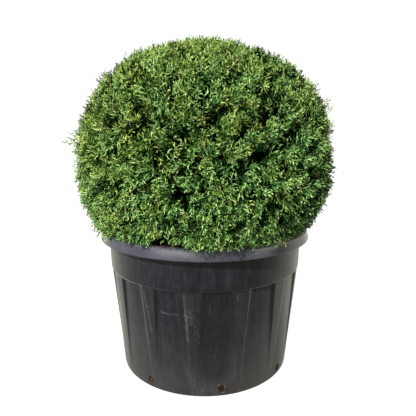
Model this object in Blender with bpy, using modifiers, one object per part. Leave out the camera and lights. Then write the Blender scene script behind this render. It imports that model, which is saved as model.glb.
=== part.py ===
"""A clipped ball of thuja in its black nursery container, at real size.

Metres, +Z up. The origin is on the container's axis, on the flat underside of its floor, and the
front is -Y. An azimuth is counted from the front, positive towards +X. A polar angle is counted
from straight up, about the crown's centre, and a share is a part of the way from there to the
clipped outline.
"""

import math
import random
from collections import namedtuple

import bmesh
import bpy
from mathutils import Matrix, Vector

WELD = 0.0001
CLEARANCE = 0.0003
SHARP_ANGLE = math.radians(30.0)

# Container: a turned shell with a flared lip, a plain band and a ribbed wall
POT_HEIGHT = 0.563
POT_SKIN = 0.004
POT_FLOOR = 0.006
TURN_STEPS = 56
LIP_TOP_RADIUS = 0.408
LIP_FOOT_RADIUS = 0.417
LIP_DEPTH = 0.038
LIP_ROUNDING = 0.007
BAND_TOP_RADIUS = 0.387
BAND_FOOT_RADIUS = 0.381
BAND_FOOT = 0.415
WALL_TOP = 0.400
WALL_TOP_RADIUS = 0.371
WALL_FOOT_RADIUS = 0.340
FOOT_ROUNDING = 0.010

# Ribs of the wall, which taper away towards the foot
RIB_COUNT = 14
RIB_TURN = -6.2
RIB_TOP_WIDTH = 11.5
RIB_FOOT_WIDTH = 4.0
RIB_TOP_PROUD = 0.007
RIB_FOOT_PROUD = 0.001
RIB_FOOT = 0.060
RIB_SINK = 0.0015
RIB_FACE_SHARE = 0.80

# Drain holes, just above the foot
HOLE_COUNT = 8
HOLE_TURN = 9.6
HOLE_WIDTH = 0.020
HOLE_HEIGHT = 0.024
HOLE_DEPTH = 0.032
HOLE_LEVEL = 0.031

# Potting soil, filled nearly to the rim
SOIL_TOP = 0.545
SOIL_EDGE = 0.540
SOIL_EDGE_RADIUS = 0.381
SOIL_LEVEL_RADIUS = 0.120

# Trunk: heights above the soil, with the radius at each
TRUNK_STATIONS = ((0.000, 0.050), (0.018, 0.041), (0.055, 0.035), (0.130, 0.031), (0.240, 0.027))
TRUNK_LEAN = Vector((0.035, 0.020, 1.0))
TRUNK_UPRIGHT = 0.018
TRUNK_SIDES_RESOLUTION = 3

# Crown: a clipped ball, a little boxy, that leans slightly and rests on the rim
CROWN_CENTRE = Vector((0.004, 0.0, 0.762))
CROWN_RADIUS = 0.494
CROWN_RISE = 0.496
CROWN_DROP = 0.293
CROWN_POWER = 2.6
CROWN_LEAN = 0.020
CROWN_RELIEF = 0.010

# Core of each mass of foliage, as shares of the crown. All cores turn in the same sections.
CORE_INNER = 0.50
CORE_OUTER = 0.90
CORE_SECTIONS = 42
CORE_STEP = math.radians(13.0)
MASS_MARGIN = math.radians(0.13)

# Sprays: toothed blades that lean as they stand out of the core, to the clipped outline
SPRAY_COUNT = 158
SPRAY_SEED = 11
SPRAY_ROOT = 0.81
SPRAY_REACH = (0.985, 1.01)
SPRAY_WIDTH_RATIO = 0.88
SPRAY_THICKNESS = 0.0025
SPRAY_LEAN = 1.0
SPRAY_SPREAD = math.radians(35.0)
SPRAY_ROLL = math.radians(22.0)
SPRAY_UPRIGHT = math.radians(45.0)
SPRAY_DROOPING = math.radians(112.0)
SPRAY_ROOT_INSET = math.radians(1.5)
SPRAY_LOWEST = math.radians(122.0)
SPRAY_MARGIN = math.radians(0.35)
SPRAY_POT_GAP = 0.005
SPRAY_SWINGS = tuple(math.radians(a) for a in (0, 35, -35, 70, -70, 105, -105, 140, -140, 180))
SPRAY_SHRINKS = (1.0, 0.8, 0.6)
GOLDEN_ANGLE = math.pi * (3.0 - math.sqrt(5.0))
OUTLINE_LIMIT = 1.03
LENGTH_CORRECTIONS = 4

# Boughs: tapering limbs from the trunk to the stem of each mass
STEM_LENGTH = 0.035
STEM_SINK = 0.020
STEM_RADIUS = 0.0085
STEM_TIP_RADIUS = 0.0076
BOUGH_SAMPLES = 5
BOUGH_SIDES_RESOLUTION = 1
BOUGH_COLLAR = 1.25
BOUGH_FIRST_BEND = Vector((0.0, 0.070, 0.045))
BOUGH_LAST_BEND = 0.090
BOUGH_STRAIGHT_END = 0.020

Tier = namedtuple("Tier", "name top bottom masses turn bough_start bough_radius stagger")
TIERS = (
    Tier("top", 0.0, math.radians(34.0), 1, 0.0, 0.235, 0.020, 0.0),
    Tier("upper", math.radians(34.0), math.radians(72.0), 6, math.radians(30.0), 0.165, 0.0125, 0.010),
    Tier("lower", math.radians(72.0), SPRAY_LOWEST, 7, 0.0, 0.075, 0.0115, 0.012),
)

# Shoots that have outgrown the clipping, and those that hang over the rim
Stray = namedtuple("Stray", "azimuth polar rise reach width roll")
STRAYS = (
    Stray(math.radians(-92.0), math.radians(78.0), 0.10, 0.058, 0.060, math.radians(90.0)),
    Stray(math.radians(88.0), math.radians(57.5), 0.15, 0.052, 0.045, math.radians(80.0)),
    Stray(math.radians(-3.0), math.radians(108.0), -0.75, 0.030, 0.110, math.radians(4.0)),
    Stray(math.radians(9.0), math.radians(109.0), -0.70, 0.026, 0.100, math.radians(-6.0)),
)

COLOURS = {
    "pot": ((0.020, 0.022, 0.026), 0.45),
    "soil": ((0.060, 0.036, 0.020), 0.95),
    "bark": ((0.130, 0.075, 0.045), 0.90),
    "foliage": ((0.070, 0.160, 0.025), 0.65),
}


def clear_scene():
    for thing in list(bpy.data.objects):
        bpy.data.objects.remove(thing, do_unlink=True)


def new_collection(name):
    collection = bpy.data.collections.new(name)
    bpy.context.scene.collection.children.link(collection)
    return collection


def new_material(name):
    colour, roughness = COLOURS[name]
    material = bpy.data.materials.new(name)
    material.use_nodes = True
    shader = material.node_tree.nodes["Principled BSDF"]
    shader.inputs["Base Color"].default_value = (*colour, 1.0)
    shader.inputs["Roughness"].default_value = roughness
    shader.inputs["Metallic"].default_value = 0.0
    material.diffuse_color = (*colour, 1.0)
    return material


def add_object(name, data, collection, material=None):
    thing = bpy.data.objects.new(name, data)
    collection.objects.link(thing)
    if material:
        data.materials.append(material)
    return thing


def add_helper(name, mesh, collection=None):
    """A cutter or a block to be joined. It shows as wire and isn't rendered."""
    helper = add_object(name, mesh, collection or helpers)
    helper.hide_render = True
    helper.display_type = "WIRE"
    return helper


def mesh_from(name, shape):
    mesh = bpy.data.meshes.new(name)
    shape.to_mesh(mesh)
    shape.free()
    return mesh


def evaluated_mesh(thing):
    bpy.context.view_layer.update()
    graph = bpy.context.evaluated_depsgraph_get()
    return bpy.data.meshes.new_from_object(thing.evaluated_get(graph))


def settle(thing):
    """Applies the modifiers, and shades the round faces smooth."""
    mesh = evaluated_mesh(thing)
    thing.modifiers.clear()
    thing.data = mesh
    mesh.shade_smooth()
    mesh.set_sharp_from_angle(angle=SHARP_ANGLE)


def boolean(thing, operation, collection=None, other=None, solver="EXACT"):
    modifier = thing.modifiers.new(operation.lower(), "BOOLEAN")
    modifier.operation = operation
    modifier.solver = solver
    if collection:
        modifier.operand_type = "COLLECTION"
        modifier.collection = collection
    else:
        modifier.object = other


def around(radius, azimuth, height):
    """A point at this radius from the container's axis."""
    return Vector((radius * math.sin(azimuth), -radius * math.cos(azimuth), height))


def turned(name, profile, collection, material):
    """A turned solid. Its profile ends on the axis and runs down its outer side."""
    mesh = bpy.data.meshes.new(name)
    points = [(radius, 0.0, height) for radius, height in profile]
    mesh.from_pydata(points, [(i, i + 1) for i in range(len(points) - 1)], [])
    solid = add_object(name, mesh, collection, material)
    screw = solid.modifiers.new("turn", "SCREW")
    screw.steps = screw.render_steps = TURN_STEPS
    screw.use_merge_vertices = True
    screw.merge_threshold = WELD
    screw.use_smooth_shade = False
    return solid


def arc(centre_radius, centre_height, size, start, end, steps):
    """Points of a quarter round in a turned profile, by angle from outward."""
    angles = [math.radians(start + (end - start) * i / steps) for i in range(steps + 1)]
    return [(centre_radius + size * math.cos(a), centre_height + size * math.sin(a)) for a in angles]


def wall_radius(height):
    return WALL_FOOT_RADIUS + (WALL_TOP_RADIUS - WALL_FOOT_RADIUS) * height / WALL_TOP


def inner_profile(offset):
    """The container's inside from the floor's edge to the rim, moved inwards by an offset."""
    band_foot = BAND_FOOT + POT_SKIN / 2
    return [
        (wall_radius(POT_FLOOR) - POT_SKIN - offset, POT_FLOOR + offset),
        (WALL_TOP_RADIUS - POT_SKIN - offset, WALL_TOP),
        (BAND_FOOT_RADIUS - POT_SKIN - offset, band_foot + offset),
        (BAND_TOP_RADIUS - POT_SKIN - offset, POT_HEIGHT - LIP_ROUNDING),
    ]


def make_pot(collection, material):
    """The shell is turned, then joined with its ribs and pierced by its drain holes."""
    lip_foot = POT_HEIGHT - LIP_DEPTH
    under_lip = POT_HEIGHT - LIP_ROUNDING
    shoulder = BAND_FOOT_RADIUS - WALL_TOP_RADIUS
    inside = [(0.0, POT_FLOOR)] + inner_profile(0.0) + [(BAND_TOP_RADIUS, POT_HEIGHT)]
    lip = arc(LIP_TOP_RADIUS - LIP_ROUNDING, POT_HEIGHT - LIP_ROUNDING, LIP_ROUNDING, 90, 0, 3)
    skirt = [
        (LIP_FOOT_RADIUS, lip_foot),
        (LIP_FOOT_RADIUS - POT_SKIN, lip_foot),
        (LIP_TOP_RADIUS - POT_SKIN, under_lip),
        (BAND_TOP_RADIUS, under_lip),
    ]
    band = arc(BAND_FOOT_RADIUS - shoulder, BAND_FOOT, shoulder, 0, -90, 3)
    foot = arc(wall_radius(0.0) - FOOT_ROUNDING, FOOT_ROUNDING, FOOT_ROUNDING, 0, -90, 3)
    outside = lip + skirt + band + [(WALL_TOP_RADIUS, WALL_TOP)] + foot + [(0.0, 0.0)]
    pot = turned("pot", inside + outside, collection, material)

    ribs = bpy.data.collections.new("ribs")
    helpers.children.link(ribs)
    for i in range(RIB_COUNT):
        azimuth = math.radians(RIB_TURN + 360.0 * i / RIB_COUNT)
        add_helper(f"rib_{i + 1}", rib_block(azimuth), ribs)
    holes = bpy.data.collections.new("holes")
    helpers.children.link(holes)
    for i in range(HOLE_COUNT):
        azimuth = math.radians(HOLE_TURN + 360.0 * i / HOLE_COUNT)
        shape = bmesh.new()
        bmesh.ops.create_cube(shape, size=1.0)
        hole = add_helper(f"drain_hole_{i + 1}", mesh_from("drain_hole", shape), holes)
        hole.scale = (HOLE_WIDTH, HOLE_DEPTH, HOLE_HEIGHT)
        hole.location = around(wall_radius(HOLE_LEVEL), azimuth, HOLE_LEVEL)
        hole.rotation_euler.z = azimuth
    boolean(pot, "UNION", collection=ribs)
    boolean(pot, "DIFFERENCE", collection=holes)
    settle(pot)


def rib_block(azimuth):
    """One rib, sunk a little into the wall, wide and proud at its top."""
    shape = bmesh.new()
    bmesh.ops.create_cube(shape, size=1.0)
    for corner in shape.verts:
        upper, outer = corner.co.z > 0, corner.co.y < 0
        height = WALL_TOP if upper else RIB_FOOT
        half_width = math.radians(RIB_TOP_WIDTH if upper else RIB_FOOT_WIDTH) / 2
        proud = (RIB_TOP_PROUD if upper else RIB_FOOT_PROUD) if outer else -RIB_SINK
        turn = math.copysign(half_width * (RIB_FACE_SHARE if outer else 1.0), corner.co.x)
        corner.co = around(wall_radius(height) + proud, azimuth + turn, height)
    return mesh_from("rib", shape)


def make_soil(collection, material):
    """Fills the container's inside, clear of it by a hair."""
    side = inner_profile(CLEARANCE)[::-1]
    side[0] = (SOIL_EDGE_RADIUS, SOIL_EDGE)
    profile = [(0.0, SOIL_TOP), (SOIL_LEVEL_RADIUS, SOIL_TOP)] + side + [(0.0, POT_FLOOR + CLEARANCE)]
    settle(turned("soil", profile, collection, material))


def limb_curve(name, points, radii, resolution):
    """A tapering limb along these points, as a capped tube."""
    curve = bpy.data.curves.new(name, "CURVE")
    curve.dimensions = "3D"
    curve.bevel_depth = 1.0
    curve.bevel_resolution = resolution
    curve.use_fill_caps = True
    spline = curve.splines.new("POLY")
    spline.points.add(len(points) - 1)
    for knot, point, radius in zip(spline.points, points, radii):
        knot.co = (*point, 1.0)
        knot.radius = radius
    return curve


def limb_mesh(name, points, radii, resolution):
    """The same limb as a closed mesh, its caps welded to its sides."""
    tube = add_object(name, limb_curve(name, points, radii, resolution), helpers)
    mesh = evaluated_mesh(tube)
    bpy.data.objects.remove(tube)
    shape = bmesh.new()
    shape.from_mesh(mesh)
    bmesh.ops.remove_doubles(shape, verts=shape.verts, dist=WELD / 10)
    bmesh.ops.recalc_face_normals(shape, faces=shape.faces)
    bpy.data.meshes.remove(mesh)
    return mesh_from(name, shape)


def trunk_axis(rise):
    """A point on the trunk's axis: upright at the flat cut, then leaning."""
    foot = Vector((CROWN_CENTRE.x, CROWN_CENTRE.y, SOIL_TOP + CLEARANCE))
    if rise <= TRUNK_UPRIGHT:
        return foot + Vector((0.0, 0.0, rise))
    return foot + Vector((0.0, 0.0, TRUNK_UPRIGHT)) + TRUNK_LEAN * (rise - TRUNK_UPRIGHT)


def make_trunk(collection, material):
    """The trunk. Returns a slightly fatter copy, which cuts the limbs to meet it."""
    points = [trunk_axis(rise) for rise, radius in TRUNK_STATIONS]
    radii = [radius for rise, radius in TRUNK_STATIONS]
    mesh = limb_mesh("trunk", points, radii, TRUNK_SIDES_RESOLUTION)
    settle(add_object("trunk", mesh, collection, material))
    points[-1] += TRUNK_LEAN.normalized() * CLEARANCE
    radii = [radius + CLEARANCE for radius in radii]
    return add_helper("trunk_cutter", limb_mesh("trunk_cutter", points, radii, TRUNK_SIDES_RESOLUTION))


def crown_reach(polar, azimuth):
    """Distance from the crown's centre to its outline: a rounded box with soft bulges."""
    height = CROWN_RISE if polar < math.pi / 2 else CROWN_DROP
    flat = (math.sin(polar) / CROWN_RADIUS) ** CROWN_POWER + (abs(math.cos(polar)) / height) ** CROWN_POWER
    bulge = math.sin(3.0 * azimuth + 4.0 * polar) * math.sin(polar) ** 2
    return flat ** (-1.0 / CROWN_POWER) * (1.0 + CROWN_RELIEF * bulge)


def outward(polar, azimuth):
    return around(math.sin(polar), azimuth, math.cos(polar))


def crown_point(polar, azimuth, share):
    offset = outward(polar, azimuth) * crown_reach(polar, azimuth) * share
    offset.x += CROWN_LEAN * offset.z
    return CROWN_CENTRE + offset


def crown_place(point):
    """The polar angle, azimuth and share of a point."""
    offset = point - CROWN_CENTRE
    offset.x -= CROWN_LEAN * offset.z
    polar = offset.angle(Vector((0.0, 0.0, 1.0)))
    azimuth = math.atan2(offset.x, -offset.y)
    return polar, azimuth, offset.length / crown_reach(polar, azimuth)


def turn_between(azimuth, centre):
    return (azimuth - centre + math.pi) % (2 * math.pi) - math.pi


class Mass:
    """One mass of foliage: its space in the crown, and the pieces that are fused in it."""

    def __init__(self, tier, index):
        self.tier = tier
        self.index = index
        self.name = f"foliage_{tier.name}" if tier.masses == 1 else f"foliage_{tier.name}_{index + 1}"
        self.centre = tier.turn + 2 * math.pi * index / tier.masses
        self.half_turn = math.pi / tier.masses
        self.middle = (tier.top + tier.bottom) / 2 if tier.masses > 1 else 0.0
        self.heading = outward(self.middle, self.centre)
        self.bough_tip = crown_point(self.middle, self.centre, CORE_INNER) - self.heading * STEM_LENGTH

    def covers(self, polar, azimuth):
        in_tier = self.tier.top <= polar < self.tier.bottom
        return in_tier and abs(turn_between(azimuth, self.centre)) <= self.half_turn

    def holds(self, point):
        """True where a point of a spray keeps to the mass's own space."""
        polar, azimuth, share = crown_place(point)
        if share > OUTLINE_LIMIT:
            return False
        if self.tier.masses > 1:
            if polar < self.tier.top + SPRAY_MARGIN:
                return False
            if abs(turn_between(azimuth, self.centre)) > self.half_turn - SPRAY_MARGIN:
                return False
        if self.tier.bottom < SPRAY_LOWEST:
            return polar < self.tier.bottom - SPRAY_MARGIN
        return clear_of_pot(point)


def clear_of_pot(point):
    """Above the soil, above the rim, and outside the lip where it hangs past it."""
    radius = math.hypot(point.x, point.y)
    if radius > LIP_FOOT_RADIUS + SPRAY_POT_GAP:
        return point.z > POT_HEIGHT - LIP_DEPTH / 2
    if radius > BAND_TOP_RADIUS - POT_SKIN - SPRAY_POT_GAP:
        return point.z > POT_HEIGHT + SPRAY_POT_GAP
    return point.z > SOIL_TOP + SPRAY_POT_GAP


def make_core(mass, collection, material):
    """The dense inside of a mass: a patch of the crown's form, thickened inwards."""
    tier = mass.tier
    whole = tier.masses == 1
    first = tier.top + (0.0 if whole else MASS_MARGIN)
    last = tier.bottom - MASS_MARGIN
    span = 2 * (mass.half_turn - (0.0 if whole else MASS_MARGIN))
    shape = bmesh.new()
    bmesh.ops.create_grid(
        shape,
        x_segments=CORE_SECTIONS // (2 if whole else tier.masses),
        y_segments=round((last - first) / CORE_STEP),
        size=0.5,
    )
    for corner in shape.verts:
        polar = first + (last - first) * (corner.co.y + 0.5)
        corner.co = crown_point(polar, mass.centre + span * corner.co.x, CORE_OUTER)
    bmesh.ops.remove_doubles(shape, verts=shape.verts, dist=WELD)
    thickened = bmesh.ops.extrude_face_region(shape, geom=shape.faces[:])
    for corner in thickened["geom"]:
        if isinstance(corner, bmesh.types.BMVert):
            polar, azimuth, share = crown_place(corner.co)
            corner.co = crown_point(polar, azimuth, CORE_INNER)
    bmesh.ops.recalc_face_normals(shape, faces=shape.faces)
    bmesh.ops.triangulate(shape, faces=shape.faces)
    return add_object(mass.name, mesh_from(mass.name, shape), collection, material)


def blade_outline(side):
    """A feathery spray seen flat, one unit long: teeth on alternate sides point forward to its tip."""
    more = ((0.04, 0.00), (0.40, 0.52), (0.17, 0.46), (0.28, 0.86), (0.09, 0.74))
    less = ((0.11, 0.60), (0.38, 0.72), (0.04, 0.02))
    right = [(side * x, y) for x, y in more]
    left = [(-side * x, y) for x, y in less]
    return right + [(0.0, 1.0)] + left


def blade_mesh(side):
    """The spray's outline given a unit thickness, as a closed mesh."""
    curve = bpy.data.curves.new("blade", "CURVE")
    curve.dimensions = "2D"
    curve.fill_mode = "BOTH"
    curve.extrude = 0.5
    spline = curve.splines.new("POLY")
    outline = blade_outline(side)
    spline.points.add(len(outline) - 1)
    for knot, (x, y) in zip(spline.points, outline):
        knot.co = (x, y, 0.0, 1.0)
    spline.use_cyclic_u = True
    flat = add_object("blade", curve, helpers)
    mesh = evaluated_mesh(flat)
    bpy.data.objects.remove(flat)
    shape = bmesh.new()
    shape.from_mesh(mesh)
    bpy.data.meshes.remove(mesh)
    bmesh.ops.remove_doubles(shape, verts=shape.verts, dist=WELD)
    bmesh.ops.recalc_face_normals(shape, faces=shape.faces)
    return mesh_from("blade", shape)


def blade_frame(root, heading, facing, roll, length, width):
    """Stands a unit blade on its root, along its heading, its flat side facing out before it is rolled."""
    across = Matrix.Rotation(roll, 3, heading) @ heading.cross(facing).normalized()
    thick = across.cross(heading)
    turn = Matrix((across * width, heading * length, thick * SPRAY_THICKNESS)).transposed()
    return Matrix.Translation(root) @ turn.to_4x4()


def blade_probes():
    """Corners and middles of a blade's edges, on both of its faces, which have to stay in its space."""
    outline = blade_outline(1) + blade_outline(-1)
    middles = [((x0 + x1) / 2, (y0 + y1) / 2) for (x0, y0), (x1, y1) in zip(outline, outline[1:])]
    return [Vector((x, y, face)) for x, y in outline + middles for face in (-0.5, 0.5)]


def spray_length(root, heading, size, reach):
    """The length at which a spray's tip comes to this share of the crown."""
    length = size * (reach - SPRAY_ROOT)
    for correction in range(LENGTH_CORRECTIONS):
        share = crown_place(root + heading * length)[2]
        length *= (reach - SPRAY_ROOT) / (share - SPRAY_ROOT)
    return length


def spray_turn(polar, side):
    """Sprays lean up on top of the crown, to one side or the other round its middle, and down below."""
    fall = (polar - SPRAY_UPRIGHT) / (SPRAY_DROOPING - SPRAY_UPRIGHT)
    return side * math.pi * min(max(fall, 0.0), 1.0)


def spray_frame(mass, root_place, side, probes, chance):
    """The place of one spray, or None where no swing keeps it in its mass's space."""
    root = crown_point(*root_place, SPRAY_ROOT)
    facing = outward(*root_place)
    upward = facing.cross(outward(math.pi / 2, root_place[1] + math.pi / 2))
    upward *= math.copysign(SPRAY_LEAN, upward.z)
    turn = spray_turn(root_place[0], side) + chance.uniform(-SPRAY_SPREAD, SPRAY_SPREAD)
    roll = chance.uniform(-SPRAY_ROLL, SPRAY_ROLL)
    reach = chance.uniform(*SPRAY_REACH)
    for shrink in SPRAY_SHRINKS:
        for swing in SPRAY_SWINGS:
            lean = Matrix.Rotation(turn + swing, 3, facing) @ upward
            heading = (facing + lean * shrink).normalized()
            length = spray_length(root, heading, crown_reach(*root_place), reach)
            frame = blade_frame(root, heading, facing, roll, length, length * SPRAY_WIDTH_RATIO * shrink)
            if all(mass.holds(frame @ probe) for probe in probes):
                return frame
    return None


def spray_frames(masses):
    """Sprays spread evenly over the crown by the golden angle, each dealt to its mass."""
    chance = random.Random(SPRAY_SEED)
    frames = {mass.name: [] for mass in masses}
    probes = blade_probes()
    lowest = math.cos(SPRAY_LOWEST)
    for i in range(SPRAY_COUNT):
        polar = math.acos(1.0 - (1.0 - lowest) * (i + 0.5) / SPRAY_COUNT)
        azimuth = turn_between(i * GOLDEN_ANGLE, 0.0)
        mass = next(mass for mass in masses if mass.covers(polar, azimuth))
        polar = min(max(polar, mass.tier.top + SPRAY_ROOT_INSET), mass.tier.bottom - SPRAY_ROOT_INSET)
        frame = spray_frame(mass, (polar, azimuth), 1 if i % 2 else -1, probes, chance)
        if frame:
            frames[mass.name].append(frame)
    return frames


def stray_frame(stray):
    """A shoot that stands past the clipped outline, or hangs over the rim."""
    root = crown_point(stray.polar, stray.azimuth, SPRAY_ROOT)
    facing = outward(stray.polar, stray.azimuth)
    heading = (facing + Vector((0.0, 0.0, stray.rise))).normalized()
    length = crown_reach(stray.polar, stray.azimuth) * (1.0 - SPRAY_ROOT) + stray.reach
    return blade_frame(root, heading, facing, stray.roll, length, stray.width)


def keep_outer_surface(mesh):
    """Fills any hollow that the joined blades seal, and drops loose scraps."""
    shape = bmesh.new()
    shape.from_mesh(mesh)
    waiting = set(shape.verts)
    islands = []
    while waiting:
        island = set()
        found = [waiting.pop()]
        while found:
            corner = found.pop()
            island.add(corner)
            reached = {edge.other_vert(corner) for edge in corner.link_edges} & waiting
            waiting -= reached
            found.extend(reached)
        islands.append(island)
    islands.sort(key=len)
    for island in islands[:-1]:
        bmesh.ops.delete(shape, geom=list(island), context="VERTS")
    shape.to_mesh(mesh)
    shape.free()


def fuse(core, pieces):
    """Joins the stem and the sprays, which are in one collection, to the core as one closed solid."""
    boolean(core, "UNION", collection=pieces, solver="MANIFOLD")
    settle(core)
    keep_outer_surface(core.data)
    for piece in list(pieces.objects):
        bpy.data.objects.remove(piece)
    bpy.data.collections.remove(pieces)


def make_stem(mass, pieces):
    """The short stem of a mass, from its bough's tip into its core."""
    foot = mass.bough_tip + mass.heading * CLEARANCE
    points = [foot, mass.bough_tip + mass.heading * (STEM_LENGTH + STEM_SINK)]
    mesh = limb_mesh("stem", points, [STEM_RADIUS, STEM_TIP_RADIUS], BOUGH_SIDES_RESOLUTION)
    add_helper("stem", mesh, pieces)


def make_bough(mass, cutter, collection, material):
    """One limb: out of the trunk, up and over to its mass, thickest at its collar."""
    tier = mass.tier
    start = trunk_axis(tier.bough_start + tier.stagger * (mass.index % 2))
    tip = mass.bough_tip
    if tier.masses == 1:
        bends = [start, start.lerp(tip, 1 / 3), start.lerp(tip, 2 / 3), tip]
    else:
        away = around(BOUGH_FIRST_BEND.y, mass.centre, BOUGH_FIRST_BEND.z)
        bends = [start, start + away, tip - mass.heading * BOUGH_LAST_BEND, tip]
    points = [bezier(bends, i / BOUGH_SAMPLES) for i in range(BOUGH_SAMPLES)]
    points += [tip - mass.heading * BOUGH_STRAIGHT_END, tip]
    taper = (STEM_RADIUS - tier.bough_radius) / len(points)
    radii = [tier.bough_radius + taper * i for i in range(len(points))]
    radii[0] *= BOUGH_COLLAR
    name = "leader" if tier.masses == 1 else f"bough_{tier.name}_{mass.index + 1}"
    bough = add_object(name, limb_mesh(name, points, radii, BOUGH_SIDES_RESOLUTION), collection, material)
    boolean(bough, "DIFFERENCE", other=cutter)
    settle(bough)


def bezier(bends, t):
    s = 1.0 - t
    weights = (s**3, 3 * s * s * t, 3 * s * t * t, t**3)
    return sum((bend * weight for bend, weight in zip(bends, weights)), Vector())


clear_scene()
helpers = new_collection("cutters")
parts = new_collection("potted_thuja")
materials = {name: new_material(name) for name in COLOURS}

make_pot(parts, materials["pot"])
make_soil(parts, materials["soil"])
trunk_cutter = make_trunk(parts, materials["bark"])

masses = [Mass(tier, index) for tier in TIERS for index in range(tier.masses)]
frames = spray_frames(masses)
for stray in STRAYS:
    owner = next(mass for mass in masses if mass.covers(stray.polar, stray.azimuth))
    frames[owner.name].append(stray_frame(stray))
blades = [blade_mesh(side) for side in (1, -1)]
for mass in masses:
    make_bough(mass, trunk_cutter, parts, materials["bark"])
    core = make_core(mass, parts, materials["foliage"])
    pieces = new_collection(mass.name + "_pieces")
    make_stem(mass, pieces)
    for i, frame in enumerate(frames[mass.name]):
        spray = add_helper(f"spray_{i + 1}", blades[i % len(blades)], pieces)
        spray.matrix_world = frame
    fuse(core, pieces)
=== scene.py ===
from math import cos, pi, radians, sin, sqrt

import bmesh
import bpy
import numpy as np
from mathutils import Matrix


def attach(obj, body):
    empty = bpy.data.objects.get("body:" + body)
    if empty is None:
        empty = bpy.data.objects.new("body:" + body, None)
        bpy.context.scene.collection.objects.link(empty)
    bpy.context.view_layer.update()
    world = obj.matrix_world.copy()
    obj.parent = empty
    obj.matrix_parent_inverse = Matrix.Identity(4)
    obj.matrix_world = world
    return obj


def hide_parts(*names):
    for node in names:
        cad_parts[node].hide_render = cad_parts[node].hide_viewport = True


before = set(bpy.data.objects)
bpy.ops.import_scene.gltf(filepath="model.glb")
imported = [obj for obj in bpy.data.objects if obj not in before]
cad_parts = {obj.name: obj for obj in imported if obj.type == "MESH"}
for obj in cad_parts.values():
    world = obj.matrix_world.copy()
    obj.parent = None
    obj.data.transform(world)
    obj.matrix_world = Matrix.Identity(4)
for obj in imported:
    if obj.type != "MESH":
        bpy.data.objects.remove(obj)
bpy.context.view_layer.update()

# Container
# A grower's tub of about 230 litres, moulded in one piece of black polyethylene: a flared lip, a plain
# band, and a wall with ribs that run out towards the foot. It stands on its flat underside.
POT_HEIGHT = 0.563
POT_SKIN = 0.004
POT_FLOOR = 0.006
LIP_TOP_RADIUS = 0.408
LIP_FOOT_RADIUS = 0.417
LIP_DEPTH = 0.038
LIP_ROUNDING = 0.007
SKIRT_ROUNDING = 0.0018
BAND_TOP_RADIUS = 0.387
BAND_FOOT_RADIUS = 0.381
BAND_FOOT = 0.415
WALL_TOP = 0.4
WALL_TOP_RADIUS = 0.371
WALL_FOOT_RADIUS = 0.34
FOOT_ROUNDING = 0.006
RIB_COUNT = 14
RIB_TURN = radians(-6.2)
RIB_TOP_WIDTH = radians(11.5)
RIB_FOOT_WIDTH = radians(4.0)
RIB_TOP_PROUD = 0.007
RIB_FOOT_PROUD = 0.001
RIB_FOOT = 0.06
RIB_FADE = 0.025
RIB_FLANK = 0.28
RIB_EDGE = 0.72
RIB_COLUMNS = (-1.0, -0.95, -0.8, -0.72, -0.65, -0.4, 0.0, 0.4, 0.65, 0.72, 0.8, 0.95)
PANEL_COLUMNS = 7
WALL_ROWS = 26
HOLE_COUNT = 8
HOLE_TURN = radians(9.6)
HOLE_WIDTH = 0.0225
HOLE_HEIGHT = 0.027
HOLE_DEPTH = 0.032
HOLE_ROUNDING = 0.003
HOLE_LEVEL = 0.031
SHARP_EDGE = radians(35.0)
OUT_OF_ROUND = 0.0016
BAND_WAIST = (0.0028, 0.07)
SHOULDER_LEDGE = 0.0003

BLACK_PLASTIC = (0.0048, 0.0054, 0.0082)
GREYED_PLASTIC = (0.028, 0.029, 0.035)
# The lip's colour: bleached plastic, painted lighter and bluer as a sky reflection.
LIP_BLEACH_AND_REFLECTION = (0.06, 0.063, 0.076)
DRIED_DUST = (0.06, 0.057, 0.048)
SCUFFED_PLASTIC = (0.13, 0.13, 0.125)
# Near black, for stains and for painted shadow and shade on the wall.
STAIN_AND_SHADOW_BLACK = (0.0026, 0.0032, 0.005)
RIB_DUST = 0.17
# How dark the ribs' inner flanks are painted, as shade.
FLANK_SHADE = 0.85
MARK_CORE = 0.3
SCUFF_WOBBLE = 0.012
SCUFF_SEED = 4
# The scuffs and stains, and the painted shadows, each run from one place to another, given in degrees round
# the tub and metres up, with a half width and a strength.
SCUFFS = [
    (-11.4, 0.4, -10.8, 0.331, 0.003, 0.4), (-10.8, 0.331, -9.5, 0.221, 0.0026, 0.85),
    (-11.2, 0.318, -6.6, 0.317, 0.002, 0.9), (17.2, 0.389, 17.4, 0.355, 0.0022, 0.6),
    (-10.2, 0.345, -9.2, 0.26, 0.006, 0.32), (-8.0, 0.342, -7.2, 0.292, 0.007, 0.22),
    (-34.5, 0.385, -31.5, 0.24, 0.0075, 0.26),
    (14.0, 0.4045, 14.1, 0.4045, 0.003, 1.6), (-45.7, 0.223, -44.1, 0.201, 0.0018, 0.5),
    (-33.0, 0.336, -29.6, 0.333, 0.0016, 0.5), (-29.6, 0.333, -29.3, 0.314, 0.0016, 0.5),
    (-35.9, 0.271, -31.7, 0.278, 0.0014, 0.4), (-44.6, 0.297, -44.5, 0.297, 0.003, 0.6),
    (-24.9, 0.321, -14.8, 0.319, 0.0042, 0.42), (-3.4, 0.21, -3.3, 0.252, 0.0014, 0.4),
    (3.1, 0.198, 3.2, 0.198, 0.0026, 0.45), (6.4, 0.195, 6.5, 0.195, 0.0026, 0.45),
    (31.8, 0.232, 32.8, 0.233, 0.0022, 0.5), (7.6, 0.027, 7.8, 0.021, 0.0032, 1.6),
    (10.0, 0.015, 11.6, 0.015, 0.0028, 1.4), (-1.8, 0.026, -1.6, 0.026, 0.0034, 1.0),
    (8.1, 0.047, 8.4, 0.047, 0.003, 1.6), (11.7, 0.04, 11.9, 0.036, 0.0026, 1.4),
    (22.2, 0.554, 28.1, 0.555, 0.003, 1.0), (21.0, 0.286, 21.2, 0.286, 0.0026, 1.0),
]
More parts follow.
